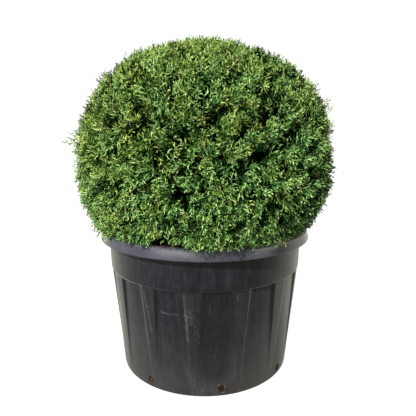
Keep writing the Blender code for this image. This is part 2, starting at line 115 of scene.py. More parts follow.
# Dark marks: the streak down the lip is one of the stains; the rest are painted shadow under the shoulder and
# along the ribs' inner flanks, and painted shade in a broad patch down the front.
STAINS_AND_PAINTED_SHADOWS = [
    (19.4, 0.562, 16.4, 0.53, 0.0085, 0.5), (-1.9, 0.394, -0.4, 0.391, 0.006, 0.9),
    (17.8, 0.404, 21.0, 0.402, 0.003, 0.6), (4.5, 0.36, 4.5, 0.12, 0.095, 0.72),
    (39.9, 0.4, 40.7, 0.368, 0.006, 0.95), (40.7, 0.368, 42.0, 0.27, 0.0042, 0.7),
    (-26.4, 0.398, -27.6, 0.29, 0.0045, 0.8), (-4.9, 0.398, -4.0, 0.29, 0.004, 0.8),
    (-53.6, 0.398, -53.8, 0.31, 0.006, 0.7), (-0.4, 0.398, -0.2, 0.384, 0.005, 0.8),
]


def put_in_scene(name, data):
    made = bpy.data.objects.new(name, data)
    bpy.context.scene.collection.objects.link(made)
    return made


def piece_from(name, points, faces, materials, numbers=None, smooth=True):
    """A mesh object from arrays of points and of faces, with one material number for each face."""
    mesh = bpy.data.meshes.new(name)
    corners = faces.shape[1]
    mesh.vertices.add(len(points))
    mesh.vertices.foreach_set("co", points.astype(np.float32).ravel())
    mesh.loops.add(faces.size)
    mesh.loops.foreach_set("vertex_index", faces.astype(np.int32).ravel())
    mesh.polygons.add(len(faces))
    mesh.polygons.foreach_set("loop_start", np.arange(0, faces.size, corners, dtype=np.int32))
    if numbers is not None:
        mesh.polygons.foreach_set("material_index", numbers.astype(np.int32))
    mesh.polygons.foreach_set("use_smooth", np.full(len(faces), smooth))
    mesh.update(calc_edges=True)
    mesh.validate()
    for material in materials:
        mesh.materials.append(material)
    return put_in_scene(name, mesh)


def grid_faces(rows, columns):
    """Quads between the rows of a grid whose columns close round in a ring."""
    row, column = np.meshgrid(np.arange(rows - 1), np.arange(columns), indexing="ij")
    start = row * columns + column
    ahead = row * columns + (column + 1) % columns
    return np.stack([start, start + columns, ahead + columns, ahead], axis=-1).reshape(-1, 4)


def weld(piece, distance=1e-6):
    shape = bmesh.new()
    shape.from_mesh(piece.data)
    bmesh.ops.remove_doubles(shape, verts=shape.verts, dist=distance)
    shape.to_mesh(piece.data)
    shape.free()


def arc(centre_radius, centre_height, size, start, end, steps):
    """Points of a quarter round in a turned profile, by angle from outward."""
    angles = np.radians(np.linspace(start, end, steps + 1))
    return list(zip(centre_radius + size * np.cos(angles), centre_height + size * np.sin(angles)))


def wall_radius(height):
    return WALL_FOOT_RADIUS + (WALL_TOP_RADIUS - WALL_FOOT_RADIUS) * height / WALL_TOP


def ramp(value, low, high):
    """Rises smoothly from 0 at the low value to 1 at the high one."""
    share = np.clip((value - low) / (high - low), 0.0, 1.0)
    return share * share * (3.0 - 2.0 * share)


def pot_profile():
    """The whole turned profile, from the middle of the floor over the lip to the middle of the underside."""
    shoulder = BAND_FOOT_RADIUS - WALL_TOP_RADIUS
    lip_foot = POT_HEIGHT - LIP_DEPTH
    under_lip = POT_HEIGHT - LIP_ROUNDING
    inside = [
        (0.0, POT_FLOOR),
        (wall_radius(POT_FLOOR) - POT_SKIN, POT_FLOOR),
        (WALL_TOP_RADIUS - POT_SKIN, WALL_TOP),
        (BAND_FOOT_RADIUS - POT_SKIN, BAND_FOOT + POT_SKIN / 2),
        (BAND_TOP_RADIUS - POT_SKIN, under_lip),
    ]
    inner_lip = arc(BAND_TOP_RADIUS - POT_SKIN + LIP_ROUNDING, under_lip, LIP_ROUNDING, 180, 90, 4)[1:]
    outer_lip = arc(LIP_TOP_RADIUS - LIP_ROUNDING, under_lip, LIP_ROUNDING, 90, 0, 6)
    hem_radius = LIP_FOOT_RADIUS - SKIRT_ROUNDING
    skirt = arc(hem_radius, lip_foot + SKIRT_ROUNDING, SKIRT_ROUNDING, 10, -90, 4)
    under = [
        (LIP_FOOT_RADIUS - POT_SKIN, lip_foot),
        (LIP_TOP_RADIUS - POT_SKIN, under_lip),
        (BAND_TOP_RADIUS, under_lip),
    ]
    band = [(BAND_TOP_RADIUS - BAND_WAIST[0], POT_HEIGHT - BAND_WAIST[1])]
    band += arc(BAND_FOOT_RADIUS - shoulder, BAND_FOOT, shoulder, 0, -50, 5)
    band.append((WALL_TOP_RADIUS + SHOULDER_LEDGE, band[-1][1]))
    wall = [(wall_radius(height), height) for height in np.linspace(WALL_TOP, 2 * FOOT_ROUNDING, WALL_ROWS)]
    foot = arc(wall_radius(0.0) - FOOT_ROUNDING, FOOT_ROUNDING, FOOT_ROUNDING, 0, -90, 5)
    return np.array(inside + inner_lip + outer_lip + skirt + under + band + wall + foot + [(0.0, 0.0)])


def around(radius, azimuth, height):
    """Points at this radius from an upright axis. Azimuth 0 faces the camera."""
    return np.stack(np.broadcast_arrays(radius * np.sin(azimuth), -radius * np.cos(azimuth), height), axis=-1)


def pot_mesh(material):
    """Turns the profile in columns that follow the flanks of the ribs, and raises the ribs on the wall."""
    radius, height = np.split(pot_profile(), 2, axis=1)
    is_wall = (height <= WALL_TOP) & (np.abs(radius - wall_radius(height)) < 1e-6) & (height > FOOT_ROUNDING)
    up = np.clip((height - RIB_FOOT) / (WALL_TOP - RIB_FOOT), 0.0, 1.0)
    half_rib = (RIB_FOOT_WIDTH + (RIB_TOP_WIDTH - RIB_FOOT_WIDTH) * up) / 2
    pitch = 2 * pi / RIB_COUNT
    panel = np.arange(PANEL_COLUMNS + 1)
    panel_azimuth = half_rib + (pitch - 2 * half_rib) * panel / len(panel)
    one_pitch = np.concatenate([half_rib * RIB_COLUMNS, panel_azimuth], axis=1)
    azimuth = RIB_TURN + np.concatenate([one_pitch + pitch * i for i in range(RIB_COUNT)], axis=1)
    side = np.tile(np.append(RIB_COLUMNS, 0.0 * panel), RIB_COUNT)
    is_rib = np.tile(np.append(np.ones(len(RIB_COLUMNS)), 0.0 * panel), RIB_COUNT)
    flank = is_rib * np.clip((1.0 - np.abs(side)) / RIB_FLANK, 0.0, 1.0)
    proud = RIB_FOOT_PROUD + (RIB_TOP_PROUD - RIB_FOOT_PROUD) * up
    relief = is_wall * proud * ramp(height, RIB_FOOT - RIB_FADE, RIB_FOOT) * flank
    is_under_shoulder = (height > WALL_TOP) & (height < BAND_FOOT) & (radius > WALL_TOP_RADIUS)
    rib_top = WALL_TOP_RADIUS + RIB_TOP_PROUD * flank
    distance = np.where(is_under_shoulder, np.maximum(radius, rib_top), radius + relief)
    distance = distance * (1.0 + OUT_OF_ROUND * np.sin(2 * azimuth + 0.7) * ramp(height, 0.0, POT_HEIGHT))
    points = around(distance, azimuth, height).reshape(-1, 3)
    pot = piece_from("pot_tub", points, grid_faces(*azimuth.shape)[:, ::-1], [material])
    from_edge = np.abs(side) - RIB_EDGE
    is_outer_flank = np.sign(side) == np.sign(np.sin(azimuth))
    wear_and_painted_light = {
        # Worn rib edges, stronger on each rib's outer flank as a painted highlight.
        "rib_edge_wear_and_highlight": (np.abs(from_edge) < 0.01) * np.where(is_outer_flank, 1.0, 0.25) * ramp(up, 0.05, 0.5),
        # Each rib's inner flank, painted dark as shade, and a little of its outer one.
        "rib_flank_shade": (from_edge > 0.01) * np.where(is_outer_flank, 0.2, 1.0) * ramp(up, 0.1, 0.9),
        "rib_face": is_rib * (from_edge < 0.01) * ramp(up, 0.0, 0.4),
    }
    for name, amount in wear_and_painted_light.items():
        attribute = pot.data.attributes.new(name, "FLOAT", "POINT")
        attribute.data.foreach_set("value", (is_wall * amount).astype(np.float32).ravel())
    weld(pot)
    return pot


def pierce_holes(pot):
    """Cuts the drain holes, whose corners are rounded as a punch leaves them."""
    shape = bmesh.new()
    for i in range(HOLE_COUNT):
        azimuth = HOLE_TURN + 2 * pi * i / HOLE_COUNT
        place = Matrix.Translation(around(wall_radius(HOLE_LEVEL), azimuth, HOLE_LEVEL))
        size = Matrix.Diagonal((HOLE_WIDTH, HOLE_DEPTH, HOLE_HEIGHT, 1.0))
        bmesh.ops.create_cube(shape, size=1.0, matrix=place @ Matrix.Rotation(azimuth, 4, "Z") @ size)
    through_wall = [edge for edge in shape.edges if edge.calc_length() > 0.99 * HOLE_DEPTH]
    bmesh.ops.bevel(shape, geom=through_wall, offset=HOLE_ROUNDING, segments=3, affect="EDGES")
    bmesh.ops.triangulate(shape, faces=shape.faces)
    mesh = bpy.data.meshes.new("holes")
    shape.to_mesh(mesh)
    shape.free()
    holes = put_in_scene("holes", mesh)
    cut = pot.modifiers.new("holes", "BOOLEAN")
    cut.operation = "DIFFERENCE"
    cut.solver = "MANIFOLD"
    cut.object = holes
    bpy.context.view_layer.update()
    graph = bpy.context.evaluated_depsgraph_get()
    pierced = bpy.data.meshes.new_from_object(pot.evaluated_get(graph))
    pot.modifiers.clear()
    pot.data = pierced
    pierced.set_sharp_from_angle(angle=SHARP_EDGE)
    bpy.data.objects.remove(holes)


def set_sockets(tree, sockets, values):
    """Sets these sockets by name or number, or links them to another node's output."""
    for place, value in values.items():
        socket = sockets[place]
        if isinstance(value, bpy.types.NodeSocket):
            tree.links.new(value, socket)
        else:
            socket.default_value = (*value, 1.0) if socket.type == "RGBA" else value


def node(tree, kind, values, output=0, **settings):
    """Adds a node, sets its sockets, and returns one of its outputs."""
    made = tree.nodes.new("ShaderNode" + kind)
    for name, value in settings.items():
        setattr(made, name, value)
    set_sockets(tree, made.inputs, values)
    return made.outputs[output]


def mixed(tree, factor, first, second):
    """One colour laid over another by a factor. The Mix node's colours are its sockets 6 and 7."""
    return node(tree, "Mix", {0: factor, 6: first, 7: second}, 2, data_type="RGBA")


def stretched(tree, scale=(1.0, 1.0, 1.0)):
    """The piece's own coordinates, in metres, stretched or squeezed along each axis."""
    return node(tree, "Mapping", {"Vector": node(tree, "TexCoord", {}, "Object"), "Scale": scale})


def noise_at(tree, scale, detail=3.0, stretch=(1.0, 1.0, 1.0), roughness=0.5):
    sockets = {"Vector": stretched(tree, stretch), "Scale": scale, "Detail": detail, "Roughness": roughness}
    return node(tree, "TexNoise", sockets)


def between(tree, value, low, high, start=0.0, end=1.0):
    """Maps a value from low to high onto start to end, and keeps it there."""
    sockets = {"Value": value, "From Min": low, "From Max": high, "To Min": start, "To Max": end}
    return node(tree, "MapRange", sockets, interpolation_type="SMOOTHSTEP")


def combined(tree, operation, *values):
    """Numbers put through the same sum, one after another."""
    total = values[0]
    for value in values[1:]:
        total = node(tree, "Math", {0: total, 1: value}, operation=operation)
    return total


def vector_step(tree, operation, first, second=(0.0, 0.0, 0.0), scale=1.0):
    output = "Value" if operation in ("DOT_PRODUCT", "LENGTH") else "Vector"
    return node(tree, "VectorMath", {0: first, 1: second, 3: scale}, output, operation=operation)


def raised(tree, height, distance, strength=1.0):
    return node(tree, "Bump", {"Height": height, "Distance": distance, "Strength": strength})


def finish(name, look):
    """A material. Its look is a function that gives the shader's sockets from the node tree."""
    material = bpy.data.materials.new(name)
    material.use_nodes = True
    tree = material.node_tree
    set_sockets(tree, tree.nodes["Principled BSDF"].inputs, look(tree))
    return material


def along_wall(tree):
    """The place on the tub's wall, unrolled flat: metres round it and metres up."""
    place = stretched(tree)
    x, y, height = [node(tree, "SeparateXYZ", {0: place}, axis) for axis in range(3)]
    azimuth = combined(tree, "ARCTAN2", x, combined(tree, "MULTIPLY", y, -1.0))
    return combined(tree, "MULTIPLY", azimuth, WALL_TOP_RADIUS), height


def mark(tree, place, line_mark):
    """How strongly one of the scuffs, stains or painted shadows shows at this place on the unrolled wall."""
    start_turn, start_height, end_turn, end_height, half_width, strength = line_mark
    start = np.array((radians(start_turn) * WALL_TOP_RADIUS, start_height, 0.0))
    run = np.array((radians(end_turn) * WALL_TOP_RADIUS, end_height, 0.0)) - start
    offset = vector_step(tree, "SUBTRACT", place, tuple(start))
    share = vector_step(tree, "DOT_PRODUCT", offset, tuple(run / (run @ run)))
    nearest = vector_step(tree, "SCALE", tuple(run), scale=node(tree, "Clamp", {0: share}))
    distance = vector_step(tree, "LENGTH", vector_step(tree, "SUBTRACT", offset, nearest))
    return between(tree, distance, half_width, half_width * MARK_CORE, 0.0, strength)


def all_scuffs():
    """The scuffs in front, and a few more at random round the sides and the back."""
    chance = np.random.default_rng(SCUFF_SEED)
    more = []
    for turn in chance.uniform(62.0, 300.0, 12):
        height = chance.uniform(0.1, 0.36)
        drop = chance.uniform(0.01, 0.09)
        slant = chance.uniform(-2.0, 2.0)
        turn = (turn + 180.0) % 360.0 - 180.0
        more.append((turn, height, turn + slant, height - drop, 0.0018, chance.uniform(0.3, 0.7)))
    return SCUFFS + more


def faded_plastic(tree, on_lip):
    """Black, greyed in clouds, fine upright streaks and mottle, and bleached on the lip, where it is also
    painted lighter and bluer as a sky reflection.
    """
    clouds = between(tree, noise_at(tree, 5.0, 4.0), 0.4, 0.75)
    streaks = between(tree, noise_at(tree, 75.0, 5.0, (1.0, 1.0, 0.04), 0.6), 0.44, 0.7)
    mottle = between(tree, noise_at(tree, 42.0, 6.0, (1.0, 1.0, 0.6), 0.7), 0.45, 0.7)
    haze = combined(tree, "MULTIPLY", combined(tree, "ADD", clouds, streaks, mottle), 0.33)
    uneven = between(tree, noise_at(tree, 14.0, 5.0), 0.25, 0.75, 0.55, 1.0)
    # Bleached on the lip, with a painted sky reflection there.
    bleach_and_reflection = combined(tree, "MULTIPLY", on_lip, uneven)
    return mixed(tree, bleach_and_reflection, mixed(tree, haze, BLACK_PLASTIC, GREYED_PLASTIC), LIP_BLEACH_AND_REFLECTION)


def dried_dust(tree, height):
    """Dust that has splashed up the wall in patches, and a little on the faces of the ribs."""
    low_down = between(tree, height, 0.34, 0.0, 0.0, 0.62)
    patches = between(tree, noise_at(tree, 9.0, 6.0, (1.0, 1.0, 0.5), 0.62), 0.25, 0.8, 0.35, 1.0)
    faces = node(tree, "Attribute", {}, "Fac", attribute_name="rib_face")
    dust = combined(tree, "MULTIPLY", low_down, patches)
    return combined(tree, "MAXIMUM", dust, combined(tree, "MULTIPLY", faces, patches, RIB_DUST))


def scratches(tree, round_wall, height):
    """Fine upright scratches and specks, most of them to the left, and worn rib edges, lighter on each rib's
    outer flank as a painted highlight.
    """
    lines = between(tree, noise_at(tree, 150.0, 2.0, (1.0, 1.0, 0.025)), 0.64, 0.72, 0.0, 0.32)
    specks = between(tree, noise_at(tree, 300.0, 1.0), 0.66, 0.74, 0.0, 0.55)
    where = between(tree, noise_at(tree, 9.0, 2.0, (1.0, 1.0, 0.7)), 0.44, 0.6)
    to_the_left = between(tree, round_wall, -0.04, 0.08, 1.0, 0.3)
    below_band = between(tree, height, WALL_TOP, BAND_FOOT, 1.0, 0.3)
    marks = combined(tree, "MAXIMUM", lines, specks)
    marks = combined(tree, "MULTIPLY", marks, where, to_the_left, below_band)
    edge_wear_and_highlight = node(tree, "Attribute", {}, "Fac", attribute_name="rib_edge_wear_and_highlight")
    breaks = between(tree, noise_at(tree, 30.0, 4.0, (1.0, 1.0, 0.3)), 0.4, 0.7, 0.02, 0.32)
    return combined(tree, "MAXIMUM", marks, combined(tree, "MULTIPLY", edge_wear_and_highlight, breaks))


def scuffed(tree, place):
    """The scuffs, made crooked and broken up."""
    wobble = node(tree, "TexNoise", {"Vector": place, "Scale": 70.0, "Detail": 2.0}, "Color")
    wobble = vector_step(tree, "SUBTRACT", wobble, (0.5, 0.5, 0.5))
    crooked = vector_step(tree, "ADD", place, vector_step(tree, "SCALE", wobble, scale=SCUFF_WOBBLE))
    marks = combined(tree, "MAXIMUM", *[mark(tree, crooked, line_mark) for line_mark in all_scuffs()])
    breaks = between(tree, noise_at(tree, 160.0, 4.0, roughness=0.7), 0.34, 0.6)
    return combined(tree, "MULTIPLY", marks, breaks)


def worn_black_plastic_painted_light(tree):
    """Black polyethylene that has stood outdoors: faded, dusty, stained, scratched and scuffed, with painted
    light and shade.
    """
    round_wall, height = along_wall(tree)
    place = node(tree, "CombineXYZ", {0: round_wall, 1: height})
    lip_foot = POT_HEIGHT - LIP_DEPTH
    on_lip = between(tree, height, lip_foot - 0.001, lip_foot + 0.003)
    dust = dried_dust(tree, height)
    # The ribs' inner flanks, painted dark as shade.
    corners = node(tree, "Attribute", {}, "Fac", attribute_name="rib_flank_shade")
    stains_and_shade = combined(tree, "MULTIPLY", corners, FLANK_SHADE)
    # Then the stains, painted shadows and painted shade from the list.
    stains_and_shade = combined(tree, "MAXIMUM", stains_and_shade, *[mark(tree, place, dark_mark) for dark_mark in STAINS_AND_PAINTED_SHADOWS])
    colour = mixed(tree, dust, faded_plastic(tree, on_lip), DRIED_DUST)
    colour = mixed(tree, stains_and_shade, colour, STAIN_AND_SHADOW_BLACK)
    marks = combined(tree, "MAXIMUM", scratches(tree, round_wall, height), scuffed(tree, place))

    dull = between(tree, noise_at(tree, 7.0, 5.0, (1.0, 1.0, 0.35)), 0.3, 0.7, 0.32, 0.46)
    on_rim = between(tree, height, POT_HEIGHT - 0.01, POT_HEIGHT - 0.003, 0.0, 0.45)
    dull = combined(tree, "ADD", dull, combined(tree, "MULTIPLY", dust, 0.25), on_rim)
    waves = combined(tree, "MULTIPLY", noise_at(tree, 9.0, 2.0), 6.0)
    return {
        "Base Color": mixed(tree, marks, colour, SCUFFED_PLASTIC),
        "Roughness": combined(tree, "SUBTRACT", dull, combined(tree, "MULTIPLY", on_lip, 0.12)),
        "Normal": raised(tree, combined(tree, "ADD", noise_at(tree, 420.0, 2.0), waves), 0.0002, 0.5),
        "Sheen Weight": 0.6,
        "Sheen Roughness": 0.3,
        "Sheen Tint": (0.85, 0.81, 0.7),
    }


def fit_out(piece, slot_name, *nodes):
    """Every piece rides on the one body and hides the nodes that it covers. Its slot name is not used."""
    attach(piece, "root")
    if nodes:
        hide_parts(*nodes)


pot = pot_mesh(finish("worn_black_plastic_painted_light", worn_black_plastic_painted_light))
pierce_holes(pot)
fit_out(pot, "pot", "pot")

# Potting soil
# A damp mix of peat and composted bark fills the tub to two fingers below the lip. Its top has settled
# into lumps, with chips of bark and dead brown scale leaves lying on it.
SOIL_TOP = 0.545
SOIL_EDGE = 0.54
SOIL_GAP = 0.0006
SOIL_EDGE_GAP = 0.002
SOIL_RINGS = 46
SOIL_COLUMNS = 200
SOIL_LUMPS = 0.0045
HEAP_TURN = radians(-20.0)
HEAP_SPREAD = radians(11.0)
HEAP_HEIGHT = 0.017
LITTER_COUNT = 5200
LITTER_SEED = 5
LITTER_REACH = 0.378
LITTER_INNER = 0.15
CHIP_LENGTH = (0.002, 0.0065)
CHIP_SLIMNESS = (0.2, 0.6)
CHIP_THICKNESS = 0.0012
CHIP_LIFT = 0.0015

PEAT_BROWN = (0.04, 0.023, 0.013)
BARK_BROWN = (0.26, 0.145, 0.078)


def lumps(x, y):
    """Soft unevenness from a few crossing waves, and a heap against the lip at the front left."""
    wave = np.sin(61.0 * x + 2.0) * np.cos(53.0 * y) + 0.6 * np.sin(127.0 * y + 90.0 * x)
    heap = np.exp(-(((np.arctan2(x, -y) - HEAP_TURN) / HEAP_SPREAD) ** 2)) * ramp(np.hypot(x, y), 0.3, 0.37)
    return 0.5 * wave + 0.4 * np.sin(210.0 * x - 160.0 * y) + HEAP_HEIGHT / SOIL_LUMPS * heap


def damp_soil(tree):
    crumbs = between(tree, noise_at(tree, 120.0, 6.0, roughness=0.7), 0.4, 0.62)
    return {
        "Base Color": mixed(tree, crumbs, PEAT_BROWN, BARK_BROWN),
        "Normal": raised(tree, noise_at(tree, 160.0, 6.0, roughness=0.7), 0.004),
        "Roughness": 0.95,
        "Specular IOR Level": 0.25,
    }


def full_turn(count):
    return np.linspace(0.0, 2 * pi, count, endpoint=False)


def soil_mesh(material):
    """A lumpy top, on a body that fills the tub's inside."""
    edge_radius = BAND_TOP_RADIUS - POT_SKIN - SOIL_EDGE_GAP
    top_radius = edge_radius * np.linspace(0.0, 1.0, SOIL_RINGS)
    top_height = SOIL_TOP + (SOIL_EDGE - SOIL_TOP) * (top_radius / edge_radius) ** 2
    side = np.array([
        (BAND_FOOT_RADIUS - POT_SKIN - SOIL_GAP, BAND_FOOT + POT_SKIN / 2),
        (WALL_TOP_RADIUS - POT_SKIN - SOIL_GAP, WALL_TOP),
        (wall_radius(POT_FLOOR) - POT_SKIN - SOIL_GAP, POT_FLOOR + SOIL_GAP),
        (0.0, POT_FLOOR + SOIL_GAP),
    ])
    radius = np.concatenate([top_radius, side[:, 0]])[:, None]
    height = np.concatenate([top_height, side[:, 1]])[:, None]
    azimuth = full_turn(SOIL_COLUMNS)[None, :]
    x, y = radius * np.sin(azimuth), -radius * np.cos(azimuth)
    is_top = (np.arange(len(radius)) < SOIL_RINGS - 1)[:, None]
    height = height + np.where(is_top, SOIL_LUMPS * lumps(x, y), 0.0)
    points = np.stack([x, y, height], axis=-1).reshape(-1, 3)
    soil = piece_from("soil_fill", points, grid_faces(len(radius), SOIL_COLUMNS), [material])
    weld(soil)
    return soil


def litter_mesh(materials):
    """Flat chips of bark and dead leaf, strewn on the soil."""
    chance = np.random.default_rng(LITTER_SEED)
    radius = np.sqrt(chance.uniform(LITTER_INNER**2, LITTER_REACH**2, LITTER_COUNT))
    azimuth = chance.uniform(0.0, 2 * pi, LITTER_COUNT)
    x, y = radius * np.sin(azimuth), -radius * np.cos(azimuth)
    height = SOIL_TOP + (SOIL_EDGE - SOIL_TOP) * (radius / BAND_TOP_RADIUS) ** 2 + SOIL_LUMPS * lumps(x, y)
    centre = np.stack([x, y, height + CHIP_LIFT], axis=-1)
    long_side = chance.normal(size=(LITTER_COUNT, 3)) * (1.0, 1.0, 0.25)
    long_side /= np.linalg.norm(long_side, axis=1, keepdims=True)
    short_side = np.cross(long_side, (0.0, 0.0, 1.0)) + chance.normal(size=(LITTER_COUNT, 3)) * 0.15
    length = chance.uniform(*CHIP_LENGTH, (LITTER_COUNT, 1))
    width = length * chance.uniform(*CHIP_SLIMNESS, (LITTER_COUNT, 1))
    thick = np.array([(0.0, 0.0, CHIP_THICKNESS)])
    corners = [
        centre + long_side * length, centre + short_side * width,
        centre - long_side * length, centre - short_side * width, centre + thick, centre - thick,
    ]
    points = np.stack(corners, axis=1).reshape(-1, 3)
    chip = np.array([(0, 1, 4), (1, 2, 4), (2, 3, 4), (3, 0, 4), (1, 0, 5), (2, 1, 5), (3, 2, 5), (0, 3, 5)])
    faces = (chip[None] + 6 * np.arange(LITTER_COUNT)[:, None, None]).reshape(-1, 3)
    numbers = np.repeat(chance.integers(0, len(materials), LITTER_COUNT), len(chip))
    return piece_from("soil_litter", points, faces, materials, numbers, smooth=False)


def plain_finish(name, colour, roughness, specular=0.35):
    look = {"Base Color": colour, "Roughness": roughness, "Specular IOR Level": specular}
    return finish(name, lambda tree: look)


soil = soil_mesh(finish("damp_soil", damp_soil))
fit_out(soil, "soil", "soil")
litter = litter_mesh([
    plain_finish("litter_dark", (0.03, 0.019, 0.012), 0.9),
    plain_finish("litter_brown", (0.2, 0.095, 0.045), 0.9),
    plain_finish("litter_straw", (0.38, 0.23, 0.11), 0.85),
])
fit_out(litter, "soil")

# Trunk and boughs
# The short trunk rises out of the soil and leans a little. Two whorls of boughs and a leader leave it, under
# stringy grey-brown bark whose ridges run along the wood. Each ends where it enters its mass of foliage.
TRUNK_STATIONS = np.array([(0.0, 0.05), (0.018, 0.041), (0.055, 0.035), (0.13, 0.031), (0.24, 0.027)])
TRUNK_LEAN = np.array((0.035, 0.02, 1.0))
TRUNK_UPRIGHT = 0.018
TRUNK_SINK = 0.012
CLEARANCE = 0.0003
CROWN_CENTRE = np.array((0.004, 0.0, 0.762))
CROWN_RADIUS = 0.494
CROWN_RISE = 0.496
CROWN_DROP = 0.293
CROWN_POWER = 2.6
CROWN_LEAN = 0.02
CROWN_RELIEF = 0.01
CORE_INNER = 0.5
STEM_LENGTH = 0.035
STEM_RADIUS = 0.0085
BOUGH_FIRST_BEND = (0.07, 0.045)
BOUGH_LAST_BEND = 0.09
BOUGH_COLLAR = 1.25
BOUGH_INTO_MASS = 0.045
TIERS = (
    # name, top, bottom, number of masses, turn, start of the limbs on the trunk, their radius, stagger
    ("top", 0.0, radians(34.0), 1, 0.0, 0.235, 0.02, 0.0),
    ("upper", radians(34.0), radians(72.0), 6, radians(30.0), 0.165, 0.0125, 0.01),
    ("lower", radians(72.0), radians(122.0), 7, 0.0, 0.075, 0.0115, 0.012),
)
BARK_RIDGE = 0.0022
LIMB_SIDES = 28
LIMB_RINGS = 30
TRUNK_SIDES = 64
TRUNK_RINGS = 90
OFF_AXIS = (0.31, 0.17, 0.05)

INNER_BARK = (0.05, 0.028, 0.018)
OUTER_BARK = (0.19, 0.135, 0.1)


def outward(polar, azimuth):
    return around(np.sin(polar), azimuth, np.cos(polar))


def crown_reach(polar, azimuth):
    """Distance from the crown's centre to its outline: a rounded box with soft bulges."""
    height = np.where(np.cos(polar) > 0, CROWN_RISE, CROWN_DROP)
    flat = np.abs(np.sin(polar) / CROWN_RADIUS) ** CROWN_POWER + np.abs(np.cos(polar) / height) ** CROWN_POWER
    bulge = np.sin(3.0 * azimuth + 4.0 * polar) * np.sin(polar) ** 2
    return flat ** (-1.0 / CROWN_POWER) * (1.0 + CROWN_RELIEF * bulge)


def crown_point(polar, azimuth, share):
    offset = outward(polar, azimuth) * (crown_reach(polar, azimuth) * share)[..., None]
    offset[..., 0] += CROWN_LEAN * offset[..., 2]
    return CROWN_CENTRE + offset


def crown_share(points):
    """How far out these points lie, as a share of the clipped outline."""
    offset = points - CROWN_CENTRE
    side = offset[..., 0] - CROWN_LEAN * offset[..., 2]
    distance = np.sqrt(side**2 + offset[..., 1] ** 2 + offset[..., 2] ** 2)
    polar = np.arccos(np.clip(offset[..., 2] / distance, -1.0, 1.0))
    return distance / crown_reach(polar, np.arctan2(side, -offset[..., 1]))


def unit(vectors):
    return vectors / np.linalg.norm(vectors, axis=-1, keepdims=True)


def trunk_axis(rise):
    foot = np.array((CROWN_CENTRE[0], CROWN_CENTRE[1], SOIL_TOP + CLEARANCE))
    upright = min(rise, TRUNK_UPRIGHT)
    return foot + (0.0, 0.0, upright) + TRUNK_LEAN * (rise - upright)


def bezier(bends, t):
    """Points along a curve with four bends."""
    t = t[:, None]
    s = 1.0 - t
    return s**3 * bends[0] + 3 * s * s * t * bends[1] + 3 * s * t * t * bends[2] + t**3 * bends[3]


def tube(points, radii, sides, phase=0.0):
    """Rings round a path, ridged along it as stringy bark is. Both ends are drawn to a point to close it."""
    points = np.concatenate([points[:1], points, points[-1:]])
    radii = np.concatenate([radii[:1], radii, radii[-1:]])
    forward = np.gradient(points, axis=0)
    forward[0], forward[-1] = forward[1], forward[-2]
    forward = unit(forward)
    across = unit(np.cross(forward, OFF_AXIS))
    other = np.cross(forward, across)
    angle = full_turn(sides)[None, :]
    along = np.concatenate([[0.0], np.cumsum(np.linalg.norm(np.diff(points, axis=0), axis=1))])[:, None]
    twist = angle + 2.2 * along + phase
    strips = np.abs(np.sin(5.5 * twist + 1.3 * np.sin(3.0 * twist + 38.0 * along))) ** 0.6
    cracks = np.sin(95.0 * along + 4.0 * np.sin(4.0 * twist)) * 0.25
    swell = radii[:, None] + BARK_RIDGE * (strips - 0.75 + cracks) * np.minimum(radii[:, None] / 0.03, 1.0)
    swell[0] = swell[-1] = 0.0
    ring = np.cos(angle)[..., None] * across[:, None] + np.sin(angle)[..., None] * other[:, None]
    return (points[:, None] + ring * swell[..., None]).reshape(-1, 3), grid_faces(len(points), sides)[:, ::-1]


def stringy_bark(tree):
    fibres = between(tree, noise_at(tree, 55.0, 6.0, (1.0, 1.0, 0.16), 0.65), 0.36, 0.66)
    return {
        "Base Color": mixed(tree, fibres, INNER_BARK, OUTER_BARK),
        "Normal": raised(tree, noise_at(tree, 110.0, 5.0, (1.0, 1.0, 0.12)), 0.0025),
        "Roughness": 0.92,
        "Specular IOR Level": 0.2,
    }


def joined(parts):
    """One set of points and faces from several."""
    starts = np.cumsum([0] + [len(points) for points, faces in parts[:-1]])
    points = np.concatenate([points for points, faces in parts])
    return points, np.concatenate([faces + start for (_, faces), start in zip(parts, starts)])


def mass_layout():
    """For each mass: its name, its bounds in the crown, its heading and where its bough ends."""
    layout = []
    for name, top, bottom, count, turn, start, radius, stagger in TIERS:
        for i in range(count):
            centre = turn + 2 * pi * i / count
            middle = (top + bottom) / 2 if count > 1 else 0.0
            heading = outward(middle, centre)
            tip = crown_point(middle, centre, CORE_INNER) - heading * STEM_LENGTH
            layout.append({
                "name": f"foliage_{name}" if count == 1 else f"foliage_{name}_{i + 1}",
                "limb": "leader" if count == 1 else f"bough_{name}_{i + 1}",
                "top": top, "bottom": bottom, "centre": centre, "half_turn": pi / count,
                "heading": heading, "tip": tip, "start": start + stagger * (i % 2), "radius": radius,
            })
    return layout


def bough_path(mass):
    """The axis of one limb, out of the trunk and a little way into its mass."""
    start, tip = trunk_axis(mass["start"]), mass["tip"]
    if mass["limb"] == "leader":
        bends = [start, start + (tip - start) / 3, start + (tip - start) * 2 / 3, tip]
    else:
        away = around(BOUGH_FIRST_BEND[0], mass["centre"], BOUGH_FIRST_BEND[1])
        bends = [start, start + away, tip - mass["heading"] * BOUGH_LAST_BEND, tip]
    points = bezier(bends, np.linspace(0.0, 1.0, LIMB_RINGS))
    points = np.concatenate([points, [tip + mass["heading"] * BOUGH_INTO_MASS]])
    share = np.linspace(0.0, 1.0, len(points))
    radii = mass["radius"] + (STEM_RADIUS - mass["radius"]) * share
    return points, radii * (1.0 + (BOUGH_COLLAR - 1.0) * np.exp(-12.0 * share))


